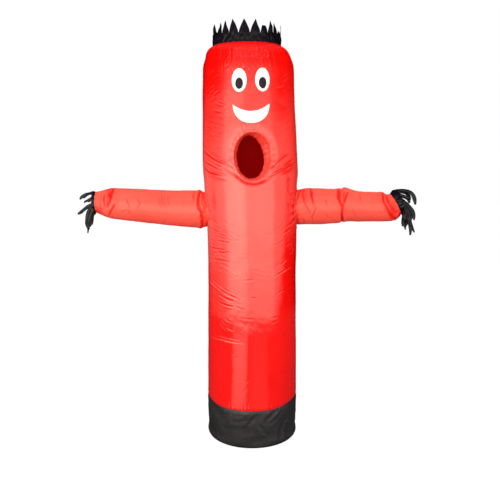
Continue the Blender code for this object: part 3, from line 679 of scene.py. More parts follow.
def makeHem():
    length = hem["sections"][-1][0]
    bm = cutCloth(clothAround, length, *hem["threads"])
    flat = flatPlaces(bm)
    angle = (flat[:, 0] / clothAround - 0.5) * 2 * math.pi
    along = flat[:, 1]
    radius = readRows(hem["sections"], along, 1)
    height = readRows(hem["sections"], along, 2)
    folds = [fold for zone in hem["zones"] for fold in scatter(zone)]
    swell = -press(angle * bodyRadius, along, folds)
    spots = np.stack([0.23 * np.sin(angle), 0.23 * np.cos(angle), along], axis=1)
    swell += 0.0034 * lumps(spots, 0.10, 5) + 0.0016 * lumps(spots, 0.045, 6)
    swell += 0.0010 * np.cos(angle * 62 + 3 * np.sin(angle * 7)) * np.exp(-((along - length) / 0.035) ** 2)
    wall = smoothStep(0.085, 0.125, along) * (1 - smoothStep(length - 0.020, length - 0.002, along))
    swell *= wall
    swell -= 0.0022 * np.exp(-((along - length) / 0.006) ** 2)
    gather = (1 - smoothStep(0.0, 0.085, along))   # the elastic of the leg opening draws the cloth into tucks
    tucks = 0.5 + 0.5 * np.cos(angle * 46 + 2.2 * np.sin(angle * 5))
    tucks = 0.0045 * tucks * gather * smoothStep(0.0, 0.012, along)
    height = height + tucks * (1 - smoothStep(0.055, 0.078, along))
    height = height - (seamDip(angle) + hem["seamGap"]) * smoothStep(0.12, length, along)
    radius = radius + swell
    place(bm, np.stack([radius * np.sin(angle), -radius * np.cos(angle), height], axis=1))
    seams = [{"along": length - seamIn}, {"along": 0.012}, {"across": seamIn}, {"across": clothAround - seamIn}]
    return finishCloth("hemCloth", bm, clothMaterial("hemNylon", hemFabric, seams), ["hem_band"])


hemCloth = makeHem()


# crown

crown = {
    "base": 1.9400, "band": 0.042, "point": 0.064, "radius": 0.1628, "lean": -0.0262, "inward": 0.006,
    "threadsPerPoint": 16, "up": 20,
    # degrees from the front, share of the full height, lean sideways, curl outwards, where its tip is cut
    "front": (
        (-68.0, 0.86, -0.004, 0.004, 1.0), (-50.5, 0.85, 0.002, -0.002, 1.0), (-37.8, 0.95, -0.003, 0.002, 1.0),
        (-22.5, 0.99, -0.004, 0.000, 1.0), (-3.9, 1.00, -0.001, -0.003, 1.0), (15.0, 0.98, 0.001, -0.002, 1.0),
        (30.2, 0.90, -0.004, 0.006, 0.62), (43.5, 0.96, 0.000, 0.000, 1.0), (58.0, 0.88, -0.010, -0.004, 1.0),
        (72.0, 0.42, 0.003, 0.002, 1.0),
    ),
    "backCount": 11,
    "zone": {"seed": 61, "count": 90, "across": (-0.52, 0.52), "up": (0.004, 0.070), "lean": 78, "spread": 26,
             "length": (0.02, 0.05), "depth": 0.0030, "width": 0.0042},
}


def crownPoints():
    first = crown["front"][0][0] + 360
    last = crown["front"][-1][0]
    pitch = (first - last) / (crown["backCount"] + 1)
    points = list(crown["front"])
    for i in range(crown["backCount"]):
        lean = 0.004 * math.sin(3.1 * i)
        tall, curl = 0.80 + 0.15 * math.cos(2.4 * i), 0.004 * math.cos(1.7 * i)
        points.append((last + pitch * (i + 1), tall, lean, curl, 1.0))
    return points


def makeCrown():
    points = crownPoints()
    count = len(points)
    across = count * crown["threadsPerPoint"]
    around = 2 * math.pi * crown["radius"]
    bm = cutCloth(around, crown["band"] + crown["point"], across, crown["up"])
    flat = flatPlaces(bm)
    step = flat[:, 0] / around * count          # whole numbers are tips, halves are valleys
    tip = np.floor(step + 0.5).astype(int)
    away = step - tip                             # -0.5 to 0.5 from the nearest tip
    centres = np.array([p[0] for p in points] + [points[0][0] + 360, points[1][0] + 360])
    this, after = centres[tip], centres[np.minimum(tip + 1, count + 1)]
    before = np.where(tip > 0, centres[np.maximum(tip - 1, 0)], centres[count - 1] - 360)
    degrees = this + np.where(away >= 0, away * (after - this), away * (this - before))
    angle = np.radians(degrees)
    size = np.array([points[i % count][1] for i in tip])
    side = np.array([points[i % count][2] for i in tip])
    curl = np.array([points[i % count][3] for i in tip])
    slope = np.clip(1 - np.abs(away) * 2, 0, 1)
    blunt = np.array([points[i % count][4] for i in tip])
    peak = np.minimum(slope ** 0.70, blunt)    # the sides of a point belly out a little
    edge = crown["band"] + crown["point"] * size * peak
    up = flat[:, 1] / (crown["band"] + crown["point"])
    height = up * edge
    risen = np.clip((height - crown["band"]) / crown["point"], 0, 1)
    bend = risen ** 1.6
    radius = crown["radius"] - crown["inward"] * risen + curl * bend * 1.6
    spots = np.stack([np.sin(angle) * 0.164, np.cos(angle) * 0.164, height], axis=1)
    radius += 0.0030 * lumps(spots, 0.024, 8) * smoothStep(0.004, 0.030, height)
    crumple = [dict(f, run=[(x, y * 0.9) for x, y in f["run"]]) for f in scatter(crown["zone"])]
    radius -= press(angle * crown["radius"], height, crumple) * smoothStep(0.002, 0.014, height)
    radius += 0.0010 * np.cos(angle * 58 + 3 * np.sin(angle * 8)) * np.exp(-(height / 0.020) ** 2)
    angle = angle + side * bend / crown["radius"]
    places = [crown["lean"] + radius * np.sin(angle), -radius * np.cos(angle), crown["base"] + height]
    place(bm, np.stack(places, axis=1))
    material = clothMaterial("crownNylon", crownFabric, [{"along": seamIn}])
    return finishCloth("crownCloth", bm, material, ["crown_strip"], thickness=fringeCloth, merge=5e-5)


crownCloth = makeCrown()


# top disc

topPanel = {"edge": 0.1580, "base": 1.9490, "dome": 0.014, "rings": 40, "turns": 128}


def makeTop():
    bm = bmesh.new()
    line = [bm.verts.new((topPanel["edge"] * i / topPanel["rings"], 0, 0)) for i in range(topPanel["rings"] + 1)]
    spoke = [bm.edges.new(pair) for pair in zip(line, line[1:])]
    bmesh.ops.spin(bm, geom=line + spoke, cent=(0, 0, 0), axis=(0, 0, 1), angle=2 * math.pi,
                   steps=topPanel["turns"], use_merge=True)
    bmesh.ops.remove_doubles(bm, verts=bm.verts, dist=1e-5)
    bmesh.ops.recalc_face_normals(bm, faces=bm.faces)
    bm.normal_update()
    if sum(f.normal.z for f in bm.faces) < 0:
        bmesh.ops.reverse_faces(bm, faces=bm.faces)
    uvLayer = bm.loops.layers.uv.new("cloth")
    for face in bm.faces:
        for loop in face.loops:
            loop[uvLayer].uv = loop.vert.co.xy
    flat = flatPlaces(bm)
    far = np.hypot(flat[:, 0], flat[:, 1]) / topPanel["edge"]
    angle = np.arctan2(flat[:, 0], -flat[:, 1])
    height = topPanel["base"] + topPanel["dome"] * (1 - far**2)
    height += 0.0016 * np.cos(angle * 41 + 3 * np.sin(angle * 6)) * smoothStep(0.62, 0.96, far)
    height += 0.0018 * lumps(flat, 0.06, 9) * (1 - smoothStep(0.85, 1.0, far))
    place(bm, np.stack([flat[:, 0] + crown["lean"], flat[:, 1], height], axis=1))
    inset = topPanel["edge"] - seamIn
    material = clothMaterial("topNylon", redCloth, [{"ring": ((0.0, 0.0), (inset, inset))}])
    return finishCloth("topCloth", bm, material, ["top_disc"], merge=None)


topCloth = makeTop()


# funnel behind the face opening

funnel = {
    "around": 128, "along": 22,
    "hole": {"middle": (-0.0103, 1.4225), "half": (0.063, 0.100), "tilt": math.radians(6),
             "egg": 0.1, "back": -0.155},
    "folds": (   # share of the way back, degrees round from the top towards the right
        {"depth": 0.0036, "width": 0.11, "run": ((0.15, 0.95), (0.50, 1.15), (0.90, 1.25))},
        {"depth": 0.0036, "width": 0.10, "run": ((0.20, 1.45), (0.55, 1.60), (0.95, 1.70))},
        {"depth": 0.0030, "width": 0.08, "run": ((0.20, 2.30), (0.60, 2.20), (0.95, 2.10))},
        {"depth": 0.0035, "width": 0.08, "run": ((0.20, 4.20), (0.60, 4.30), (0.95, 4.20))},
        {"depth": 0.0035, "width": 0.08, "run": ((0.20, 5.20), (0.60, 5.10), (0.95, 5.30))},
    ),
}


def makeFunnel():
    around = 2 * math.pi
    bm = cutCloth(1.0, around, funnel["along"], funnel["around"])
    flat = flatPlaces(bm)
    back, turn = flat[:, 0], flat[:, 1]
    midX, midZ = faceOpening["middle"]
    halfX, halfZ = faceOpening["half"]
    rimX = midX + halfX * np.sin(turn)
    rimZ = midZ + halfZ * np.cos(turn)
    hole = funnel["hole"]
    across = hole["half"][0] * np.sin(turn) * (1 - hole["egg"] * np.cos(turn))
    up = hole["half"][1] * np.cos(turn)
    holeX = hole["middle"][0] + across * math.cos(hole["tilt"]) - up * math.sin(hole["tilt"])
    holeZ = hole["middle"][1] + up * math.cos(hole["tilt"]) + across * math.sin(hole["tilt"])
    lean = readRows(tube["sections"], rimZ, 2)
    radius = readRows(tube["sections"], rimZ, 1)
    rimAngle = np.arcsin((rimX - lean) / radius)
    rimY = tubePlaces(rimAngle, rimZ - tube["seam"])[:, 1]
    inwards = smoothStep(-0.25, 1.0, back) - smoothStep(-0.25, 1.0, np.zeros(1)) * (1 - back)
    rolled = 0.0035 * np.exp(-((back - 0.10) / 0.10) ** 2) * (1 - np.exp(-(back / 0.03) ** 2))
    x = rimX + (holeX - rimX) * inwards
    z = rimZ + (holeZ - rimZ) * inwards
    y = rimY + (hole["back"] - rimY) * back**0.9
    squeeze = press(back, turn, funnel["folds"]) - 0.0012 * lumps(np.stack([x, y, z], axis=1), 0.02, 12)
    squeeze = squeeze * smoothStep(0.0, 0.15, back) * (1 - 0.6 * smoothStep(0.85, 1.0, back))
    tucks = 0.0011 * np.cos(turn * 23 + 2 * np.sin(turn * 4)) * smoothStep(0.05, 0.3, back)
    nearer = squeeze + tucks + rolled
    x = x - np.sin(turn) * nearer
    z = z - np.cos(turn) * nearer
    place(bm, np.stack([x, y, z], axis=1))
    bm.normal_update()
    if sum(f.normal.x * (f.calc_center_median().x - hole["middle"][0]) for f in bm.faces) > 0:
        bmesh.ops.reverse_faces(bm, faces=bm.faces)
    uvLayer = bm.loops.layers.uv.verify()
    for face in bm.faces:
        for loop in face.loops:
            u, v = loop[uvLayer].uv
            loop[uvLayer].uv = (u * 0.075, v * 0.09)
    material = clothMaterial("funnelNylon", funnelFabric, [{"across": 0.0045}, {"across": 0.0705}])
    return finishCloth("funnelCloth", bm, material, ["face_funnel"], merge=2e-5)


funnelCloth = makeFunnel()


# sleeves

sleeves = {
    "left": {
        "side": -1, "threads": (150, 150),
        # painted shade on the folds, patches of deeper red: reach, degrees up from the front, half reach, half turn,
        # how much
        "paintedShadePatches": (
            (0.693, 38, 0.014, 26, 0.95), (0.702, 66, 0.016, 20, 0.6), (0.757, -42, 0.014, 24, 0.8),
            (0.243, 52, 0.007, 22, 0.7),
            (0.248, -30, 0.005, 34, 0.6), (0.232, -60, 0.010, 18, 0.8), (0.735, 24, 0.004, 34, 0.35),
        ),
        "sections": (   # reach, height of the middle, radius, how far it turns up in degrees
            (0.2285, 1.163, 0.0830, 0), (0.236, 1.163, 0.0850, 0), (0.244, 1.163, 0.0890, 0),
            (0.253, 1.163, 0.0945, 0), (0.262, 1.164, 0.0960, 0), (0.275, 1.164, 0.0932, 0),
            (0.300, 1.165, 0.0915, 0), (0.345, 1.167, 0.0895, 0), (0.420, 1.171, 0.0868, 0),
            (0.500, 1.177, 0.0842, 0), (0.575, 1.183, 0.0812, 0), (0.640, 1.188, 0.0784, 0),
            (0.682, 1.191, 0.0766, 0), (0.700, 1.192, 0.0750, 0), (0.716, 1.193, 0.0710, 0),
            (0.735, 1.194, 0.0652, 0), (0.753, 1.196, 0.0584, 0), (0.772, 1.199, 0.0517, 0),
        ),
        "folds": (   # reach and degrees up from the front
            {"depth": 0.0110, "width": 0.0055, "ridge": 0.3, "fade": 0.15, "run": (
                (0.250, 88), (0.261, 53), (0.266, 29), (0.262, 9), (0.254, -4), (0.252, -24), (0.251, -88))},
            {"depth": 0.0050, "width": 0.0050, "run": ((0.238, 84), (0.223, 60))},
            {"depth": 0.0050, "width": 0.0050, "run": ((0.221, -14), (0.232, -40), (0.230, -74))},
            {"depth": 0.0030, "width": 0.0050, "run": ((0.248, 44), (0.234, 25), (0.242, 0))},
            {"depth": 0.0030, "width": 0.0060, "run": ((0.282, 80), (0.286, 50), (0.281, 24))},
            {"depth": 0.0026, "width": 0.0042, "run": ((0.440, 54), (0.442, 28), (0.424, 6))},
            {"depth": 0.0026, "width": 0.0042, "run": ((0.426, 50), (0.429, 26), (0.411, 6))},
            {"depth": 0.0022, "width": 0.0042, "run": ((0.457, 40), (0.448, 18), (0.437, 2))},
            {"depth": 0.0022, "width": 0.0042, "run": ((0.410, 48), (0.410, 30), (0.398, 14))},
            {"depth": 0.0028, "width": 0.0042, "run": ((0.610, 26), (0.602, 10), (0.592, -5))},
            {"depth": 0.0028, "width": 0.0042, "run": ((0.561, 36), (0.544, 16), (0.558, -12))},
            {"depth": 0.0024, "width": 0.0045, "run": ((0.640, -26), (0.624, -22), (0.610, -15))},
            {"depth": 0.0024, "width": 0.0045, "run": ((0.605, -13), (0.596, -32))},
            {"depth": 0.0020, "width": 0.0045, "run": ((0.602, -38), (0.586, -44), (0.570, -46))},
            {"depth": 0.0020, "width": 0.0045, "run": ((0.660, 30), (0.652, 10), (0.648, -8))},
            {"depth": 0.0090, "width": 0.0075, "ridge": 0.35, "fade": 0.3, "run": (
                (0.688, 92), (0.683, 60), (0.688, 27), (0.700, 2), (0.707, -12))},
            {"depth": 0.0060, "width": 0.0055, "run": ((0.659, 12), (0.682, -18), (0.706, -54))},
            {"depth": 0.0055, "width": 0.0060, "run": ((0.722, 44), (0.722, 20), (0.718, -22))},
            {"depth": 0.0035, "width": 0.0050, "run": ((0.745, 26), (0.742, -10), (0.738, -62))},
        ),
        "zones": (
            {"seed": 41, "count": 9, "across": (0.28, 0.66), "up": (-0.115, 0.115), "lean": 80, "spread": 20,
             "length": (0.02, 0.05), "depth": 0.0009, "width": 0.0045},
            {"seed": 42, "count": 30, "across": (0.26, 0.72), "up": (0.125, 0.262), "lean": 82, "spread": 18,
             "length": (0.03, 0.07), "depth": 0.0010, "width": 0.0060},
            {"seed": 43, "count": 30, "across": (0.26, 0.72), "up": (-0.262, -0.135), "lean": 98, "spread": 18,
             "length": (0.03, 0.07), "depth": 0.0010, "width": 0.0060},
        ),
    },
    "right": {
        "side": 1, "threads": (140, 150),
        "paintedShadePatches": (
            (0.684, -14, 0.020, 40, 0.95), (0.664, 42, 0.010, 26, 0.9), (0.704, -44, 0.016, 24, 0.8),
            (0.424, 46, 0.010, 24, 0.85),
            (0.445, 30, 0.006, 24, 0.7), (0.290, 48, 0.007, 26, 0.85), (0.262, 34, 0.006, 34, 0.45),
            (0.232, -40, 0.005, 34, 0.8),
            (0.238, 70, 0.014, 16, 0.7),
        ),
        "sections": (
            (0.2190, 1.1745, 0.0850, 0), (0.231, 1.1745, 0.0872, 0), (0.245, 1.176, 0.0882, 0),
            (0.265, 1.178, 0.0898, 0), (0.300, 1.178, 0.0890, 0), (0.345, 1.178, 0.0885, 0),
            (0.400, 1.179, 0.0858, 0), (0.432, 1.181, 0.0850, 0), (0.443, 1.184, 0.0808, 0),
            (0.456, 1.187, 0.0860, 0), (0.490, 1.183, 0.0802, 0), (0.533, 1.177, 0.0750, 0),
            (0.600, 1.176, 0.0730, 0), (0.648, 1.175, 0.0724, 4), (0.673, 1.173, 0.0700, 13),
            (0.690, 1.175, 0.0672, 21), (0.701, 1.181, 0.0625, 26), (0.711, 1.188, 0.0572, 29),
        ),
        "folds": (
            {"depth": 0.0060, "width": 0.0050, "fade": 0.2, "run": (
                (0.236, 84), (0.234, 62), (0.223, 16), (0.226, -21), (0.225, -72))},
            {"depth": 0.0050, "width": 0.0050, "run": ((0.260, 92), (0.247, 46), (0.257, 12))},
            {"depth": 0.0065, "width": 0.0060, "run": ((0.284, 88), (0.286, 38), (0.299, 10))},
            {"depth": 0.0035, "width": 0.0045, "run": ((0.297, 8), (0.307, -8), (0.291, -30), (0.298, -54))},
            {"depth": 0.0035, "width": 0.0050, "run": ((0.258, 20), (0.266, 2), (0.279, -20))},
            {"depth": 0.0026, "width": 0.0045, "run": ((0.246, -30), (0.256, -52), (0.252, -76))},
            {"depth": 0.0018, "width": 0.0045, "run": ((0.352, 28), (0.366, 6))},
            {"depth": 0.0022, "width": 0.0045, "run": ((0.361, -22), (0.374, -40))},
            {"depth": 0.0110, "width": 0.0060, "ridge": 0.35, "fade": 0.15, "run": (
                (0.430, 92), (0.417, 36), (0.429, 12), (0.438, 0), (0.436, -26), (0.448, -78))},
            {"depth": 0.0070, "width": 0.0055, "run": ((0.468, 54), (0.450, 24), (0.437, 4))},
            {"depth": 0.0022, "width": 0.0050, "run": ((0.527, 62), (0.525, 26))},
            {"depth": 0.0018, "width": 0.0050, "run": ((0.486, -10), (0.500, -26), (0.498, -44))},
            {"depth": 0.0100, "width": 0.0065, "ridge": 0.45, "fade": 0.2, "run": (
                (0.648, 90), (0.640, 30), (0.655, 0), (0.694, -78))},
            {"depth": 0.0085, "width": 0.0060, "ridge": 0.45, "run": ((0.670, 72), (0.668, 25), (0.696, -34))},
            {"depth": 0.0045, "width": 0.0050, "run": ((0.664, -28), (0.684, -84))},
        ),
        "zones": (
            {"seed": 51, "count": 9, "across": (0.30, 0.62), "up": (-0.115, 0.115), "lean": 84, "spread": 22,
             "length": (0.02, 0.05), "depth": 0.0009, "width": 0.0045},
            {"seed": 52, "count": 26, "across": (0.24, 0.66), "up": (0.125, 0.262), "lean": 84, "spread": 18,
             "length": (0.03, 0.07), "depth": 0.0010, "width": 0.0060},
            {"seed": 53, "count": 26, "across": (0.24, 0.66), "up": (-0.262, -0.135), "lean": 96, "spread": 18,
             "length": (0.03, 0.07), "depth": 0.0010, "width": 0.0060},
        ),
    },
}


def sleeveRing(sleeve, reach, turn, swell=0.0, out=0.0):   # turn is up from the front, in radians
    side = sleeve["side"]
    height = readRows(sleeve["sections"], reach, 1)
    radius = readRows(sleeve["sections"], reach, 2) + swell
    bent = np.radians(readRows(sleeve["sections"], reach, 3))
    up = radius * np.sin(turn)
    x = side * (reach + out * np.cos(bent)) - side * np.sin(bent) * up
    y = -radius * np.cos(turn)
    z = height + out * np.sin(bent) + np.cos(bent) * up
    return x, y, z


def makeSleeve(name, sleeve, nodes):
    first, last = sleeve["sections"][0][0], sleeve["sections"][-1][0]
    girth = 2 * math.pi * 0.083
    across, around = sleeve["threads"]
    bm = cutCloth(last - first, girth, across, around)
    if sleeve["side"] < 0:
        bmesh.ops.reverse_faces(bm, faces=bm.faces)
    flat = flatPlaces(bm)
    reach = flat[:, 0] + first
    turn = (flat[:, 1] / girth - 0.5) * 2 * math.pi
    folds = [dict(f, run=[(r, math.radians(a) * 0.083) for r, a in f["run"]]) for f in sleeve["folds"]]
    folds += [fold for zone in sleeve["zones"] for fold in scatter(zone)]
    swell = -press(reach, turn * 0.083, folds)
    # painted shade: the deeper a fold presses in, the darker its red, plus the listed patches of painted shade
    folded = np.clip(-swell / 0.0045, 0, 0.85)
    for middle, up, halfReach, halfTurn, strength in sleeve["paintedShadePatches"]:
        away = ((reach - middle) / halfReach) ** 2 + ((np.degrees(turn) - up) / halfTurn) ** 2
        folded = np.maximum(folded, strength * np.exp(-away))
    foldShadeLayer = bm.verts.layers.float.new("folded")
    for vert, value in zip(bm.verts, folded):
        vert[foldShadeLayer] = value
    rooted = np.exp(-((reach - first) / 0.028) ** 2)
    swell += 0.0010 * np.cos(turn * 19 + 2.4 * np.sin(turn * 3)) * rooted
    wrist = np.exp(-((reach - last) / 0.020) ** 2)
    swell += 0.0009 * np.cos(turn * 17 + 2.0 * np.sin(turn * 4)) * wrist
    spots = np.stack([reach, 0.083 * np.sin(turn), 0.083 * np.cos(turn)], axis=1)
    swell += 0.0011 * lumps(spots, 0.075, 14) + 0.0003 * lumps(spots, 0.030, 15)
    swell *= smoothStep(first - 0.004, first + 0.012, reach)
    x, y, z = sleeveRing(sleeve, reach, turn, swell)
    hole = next(h for h in armHoles if h["side"] == sleeve["side"])
    rimDepth = armHoleRadius * np.cos(turn)
    rimHeight = hole["height"] + armHoleRadius * np.sin(turn)
    rimAngle = sleeve["side"] * np.arccos(rimDepth / readRows(tube["sections"], rimHeight, 1))
    rim = tubePlaces(rimAngle, rimHeight - tube["seam"])
    hold = 1 - smoothStep(0.0, 0.055, reach - first)
    x = x + (rim[:, 0] - sleeve["side"] * first) * hold
    hold = 1 - smoothStep(0.0, 0.022, reach - first)
    y = y + (rim[:, 1] - y) * hold
    z = z + (rim[:, 2] - z) * hold
    place(bm, np.stack([x, y, z], axis=1))
    seams = [{"across": seamIn}, {"across": last - first - seamIn}, {"along": 0.0045}, {"along": girth - 0.0045}]
    return finishCloth(name, bm, clothMaterial(name, sleeveCloth, seams), nodes, merge=2e-5)


leftSleeve = makeSleeve("leftSleeveCloth", sleeves["left"], ["left_sleeve"])
rightSleeve = makeSleeve("rightSleeveCloth", sleeves["right"], ["right_sleeve"])


# wrist fringes

fringes = {   # a strand: degrees round from the top towards the front, its middle, its tip, width, twist
    "left": {
        "cuff": ((0.0003, 0.0512), (0.008, 0.0508), (0.016, 0.0490)),
        "strands": (
            (22, (-0.816, -0.028, 1.2375), (-0.8496, -0.030, 1.2178), 0.018, 0.2),
            (62, (-0.804, -0.048, 1.2120), (-0.8240, -0.050, 1.2010), 0.012, 0.2),
            (100, (-0.816, -0.050, 1.1720), (-0.8528, -0.048, 1.1400), 0.019, 0.1),
            (118, (-0.805, -0.046, 1.1350), (-0.8130, -0.040, 1.0680), 0.028, 0.12),
            (140, (-0.803, -0.038, 1.1300), (-0.8065, -0.032, 1.0760), 0.022, -0.12),
            (160, (-0.805, -0.026, 1.1100), (-0.8140, -0.022, 1.0450), 0.012, 0.2),
            (190, (-0.805, 0.010, 1.1200), (-0.8100, 0.014, 1.0740), 0.022, 0.2),
            (215, (-0.806, 0.030, 1.1250), (-0.8120, 0.036, 1.0760), 0.022, -0.2),
            (240, (-0.806, 0.044, 1.1300), (-0.8150, 0.050, 1.0800), 0.022, 0.3),
            (280, (-0.806, 0.052, 1.1500), (-0.8190, 0.057, 1.0950), 0.018, 0.4),
            (302, (-0.806, 0.050, 1.1700), (-0.8180, 0.056, 1.1120), 0.015, -0.5),
            (326, (-0.806, 0.038, 1.2150), (-0.8260, 0.044, 1.1950), 0.015, 0.4),
            (352, (-0.814, 0.008, 1.2380), (-0.8400, 0.012, 1.2190), 0.014, -0.3),
        ),
    },
    "right": {
        "cuff": ((0.0003, 0.0572), (0.008, 0.0620), (0.020, 0.0640), (0.034, 0.0590)),
        "strands": (
            (14, (0.7780, -0.030, 1.2480), (0.7970, -0.034, 1.1890), 0.021, 0.1),
            (40, (0.7540, -0.044, 1.2260), (0.7680, -0.048, 1.2120), 0.018, 0.2),
            (66, (0.7820, -0.054, 1.1640), (0.7900, -0.052, 1.1150), 0.018, 0.15),
            (84, (0.7690, -0.056, 1.1580), (0.7760, -0.052, 1.1080), 0.026, 0.1),
            (104, (0.7680, -0.052, 1.1300), (0.7830, -0.046, 1.0400), 0.023, 0.1),
            (118, (0.7740, -0.050, 1.1120), (0.7990, -0.044, 1.0510), 0.015, 0.15),
            (134, (0.7520, -0.048, 1.1450), (0.7560, -0.042, 1.0980), 0.027, -0.1),
            (150, (0.7480, -0.038, 1.1200), (0.7560, -0.034, 1.0640), 0.014, 0.2),
            (176, (0.7560, 0.000, 1.1200), (0.7560, 0.006, 1.0780), 0.026, 0.2),
            (200, (0.7640, 0.024, 1.1180), (0.7680, 0.032, 1.0700), 0.024, -0.2),
            (226, (0.7720, 0.042, 1.1240), (0.7840, 0.049, 1.0760), 0.022, 0.3),
            (254, (0.7800, 0.052, 1.1480), (0.7960, 0.057, 1.1060), 0.022, -0.2),
            (290, (0.7780, 0.051, 1.1880), (0.7980, 0.055, 1.1560), 0.018, 0.3),
            (314, (0.7720, 0.041, 1.2180), (0.7920, 0.045, 1.1900), 0.018, 0.3),
            (340, (0.7660, 0.020, 1.2420), (0.7860, 0.026, 1.2080), 0.018, -0.2),
        ),
    },
}


def makeStrand(sleeve, cuff, strand):
    around, middle, tip, width, twist = strand
    middle, tip = Vector(middle), Vector(tip)
    side = sleeve["side"]
    end = sleeve["sections"][-1]
    bent = math.radians(end[3])
    facing = Vector((side * math.cos(bent), 0, math.sin(bent)))
    upwards = Vector((-side * math.sin(bent), 0, math.cos(bent)))
    centre = Vector((side * end[0], 0, end[1]))
    turn = math.radians(around)
    spoke = upwards * math.cos(turn) + Vector((0, -1, 0)) * math.sin(turn)
    inner, outer = (centre + facing * out + spoke * (radius - 0.0006) for out, radius in cuff[-2:])
    root = inner.lerp(outer, 0.3)
    knee = middle * 2 - (root + tip) / 2
    outwards = (spoke * 0.5 + Vector((0, -1 if around < 180 else 1, 0))).normalized()
    length = (middle - root).length + (tip - middle).length
    bm = cutCloth(width, length, 6, 22)
    for vert in bm.verts:
        x, y = vert.co.x / width - 0.5, vert.co.y / length
        point = root * (1 - y) ** 2 + knee * (2 * y * (1 - y)) + tip * y**2
        ahead = ((knee - root) * (2 - 2 * y) + (tip - knee) * (2 * y)).normalized()
        wide = ahead.cross(outwards).normalized()
        thick = wide.cross(ahead)
        rolled = twist * (1.5 * y * y + 0.5 * math.sin(y * 7 + around))
        turned = wide * math.cos(rolled) + thick * math.sin(rolled)
        under = thick * math.cos(rolled) - wide * math.sin(rolled)
        cutBack = max(0.0, (y - 0.80) / 0.20) ** 1.6       # the end is cut on a slant
        taper = (0.92 + 0.08 * math.sin(y * 8 + around)) * (1 - 0.55 * cutBack)
        shift = 0.20 * cutBack * (1 if around % 4 < 2 else -1)
        crease = 0.08 * width * math.cos(x * 9 + around) * math.sin(math.pi * min(1, y * 1.1 + 0.05))
        wave = 0.0022 * math.sin(y * 11 + around * 0.7) * y
        vert.co = point + turned * width * (x * taper + shift) + under * (crease + wave)
    return bm


def makeFringe(name, sleeve, fringe, nodes):
    bm = cutCloth(fringe["cuff"][-1][0], 2 * math.pi * 0.05, 8, 96)
    flat = flatPlaces(bm)
    out = flat[:, 0] + fringe["cuff"][0][0]
    turn = flat[:, 1] / 0.05
    end = np.full(out.shape, sleeve["sections"][-1][0])
    radius = readRows(fringe["cuff"], out, 1) - sleeve["sections"][-1][2]
    radius = radius + 0.0018 * np.cos(turn * 15 + 2 * np.sin(turn * 4)) * smoothStep(0.0, 0.006, out)
    radius = radius + 0.0020 * np.cos(turn * 6 + 1.0) * smoothStep(0.0, 0.010, out)
    spots = np.stack([out, 0.05 * np.sin(turn), 0.05 * np.cos(turn)], axis=1)
    radius = radius + 0.0034 * lumps(spots, 0.020, 16) * smoothStep(0.0, 0.008, out)
    x, y, z = sleeveRing(sleeve, end, turn, radius, out)
    place(bm, np.stack([x, y, z], axis=1))
    if sleeve["side"] < 0:
        bmesh.ops.reverse_faces(bm, faces=bm.faces)
    bmesh.ops.remove_doubles(bm, verts=bm.verts, dist=2e-5)
    whole = bpy.data.meshes.new(name + "Whole")
    bm.to_mesh(whole)
    bm.free()
    joined = bmesh.new()
    joined.from_mesh(whole)
    for strand in fringe["strands"]:
        part = makeStrand(sleeve, fringe["cuff"], strand)
        part.to_mesh(whole)
        part.free()
        joined.from_mesh(whole)
    bpy.data.meshes.remove(whole)
    return finishCloth(name, joined, fringeNylon, nodes, thickness=fringeCloth, merge=None)


fringeNylon = clothMaterial("fringeNylon", fringeFabric)
leftFringe = makeFringe("leftFringeCloth", sleeves["left"], fringes["left"], ["left_fringe"])
rightFringe = makeFringe("rightFringeCloth", sleeves["right"], fringes["right"], ["right_fringe"])
for piece in (leftSleeve, rightSleeve):
    piece.visible_glossy = False   # keeps hard mirror images of the sleeves off the tube


# eyes, pupils and smile

face = {
    "turn": math.radians(3.1), "tilt": 0.006, "eyeAngle": math.radians(13.9), "eyeHeight": 1.768,
    "eye": (0.0345, 0.0520), "pupilDrop": 0.0135, "pupil": (0.0177, 0.0252),
    "smileHeight": 1.662, "smileAngle": math.radians(21.9), "upperSag": 0.032, "lowerSag": 0.085, "corner": 0.003,
    "lift": 0.0007, "thick": 0.0006,
}


def faceRise(angle):
    return face["tilt"] * (angle - face["turn"])


def makeOval(name, angle, height, half, lift, cloth, nodes):
    bm = bmesh.new()
    line = [bm.verts.new((i / 14, 0, 0)) for i in range(15)]
    spoke = [bm.edges.new(pair) for pair in zip(line, line[1:])]
    bmesh.ops.spin(bm, geom=line + spoke, cent=(0, 0, 0), axis=(0, 0, 1), angle=2 * math.pi,
                   steps=72, use_merge=True)
    bmesh.ops.remove_doubles(bm, verts=bm.verts, dist=1e-5)
    bmesh.ops.scale(bm, verts=bm.verts, vec=(half[0], half[1], 1))
    uvLayer = bm.loops.layers.uv.new("cloth")
    for item in bm.faces:
        for loop in item.loops:
            loop[uvLayer].uv = loop.vert.co.xy
    flat = flatPlaces(bm)
    radius = float(readRows(tube["sections"], height, 1))
    place(bm, tubePlaces(angle + flat[:, 0] / radius, height + flat[:, 1] - tube["seam"], lift))
    bm.normal_update()
    if sum(f.normal.y for f in bm.faces) > 0:
        bmesh.ops.reverse_faces(bm, faces=bm.faces)
    material = clothMaterial(name, cloth, [{"ring": ((0.0, 0.0), (half[0] - 0.0016, half[1] - 0.0016))}])
    return finishCloth(name, bm, material, nodes, thickness=face["thick"], merge=None)


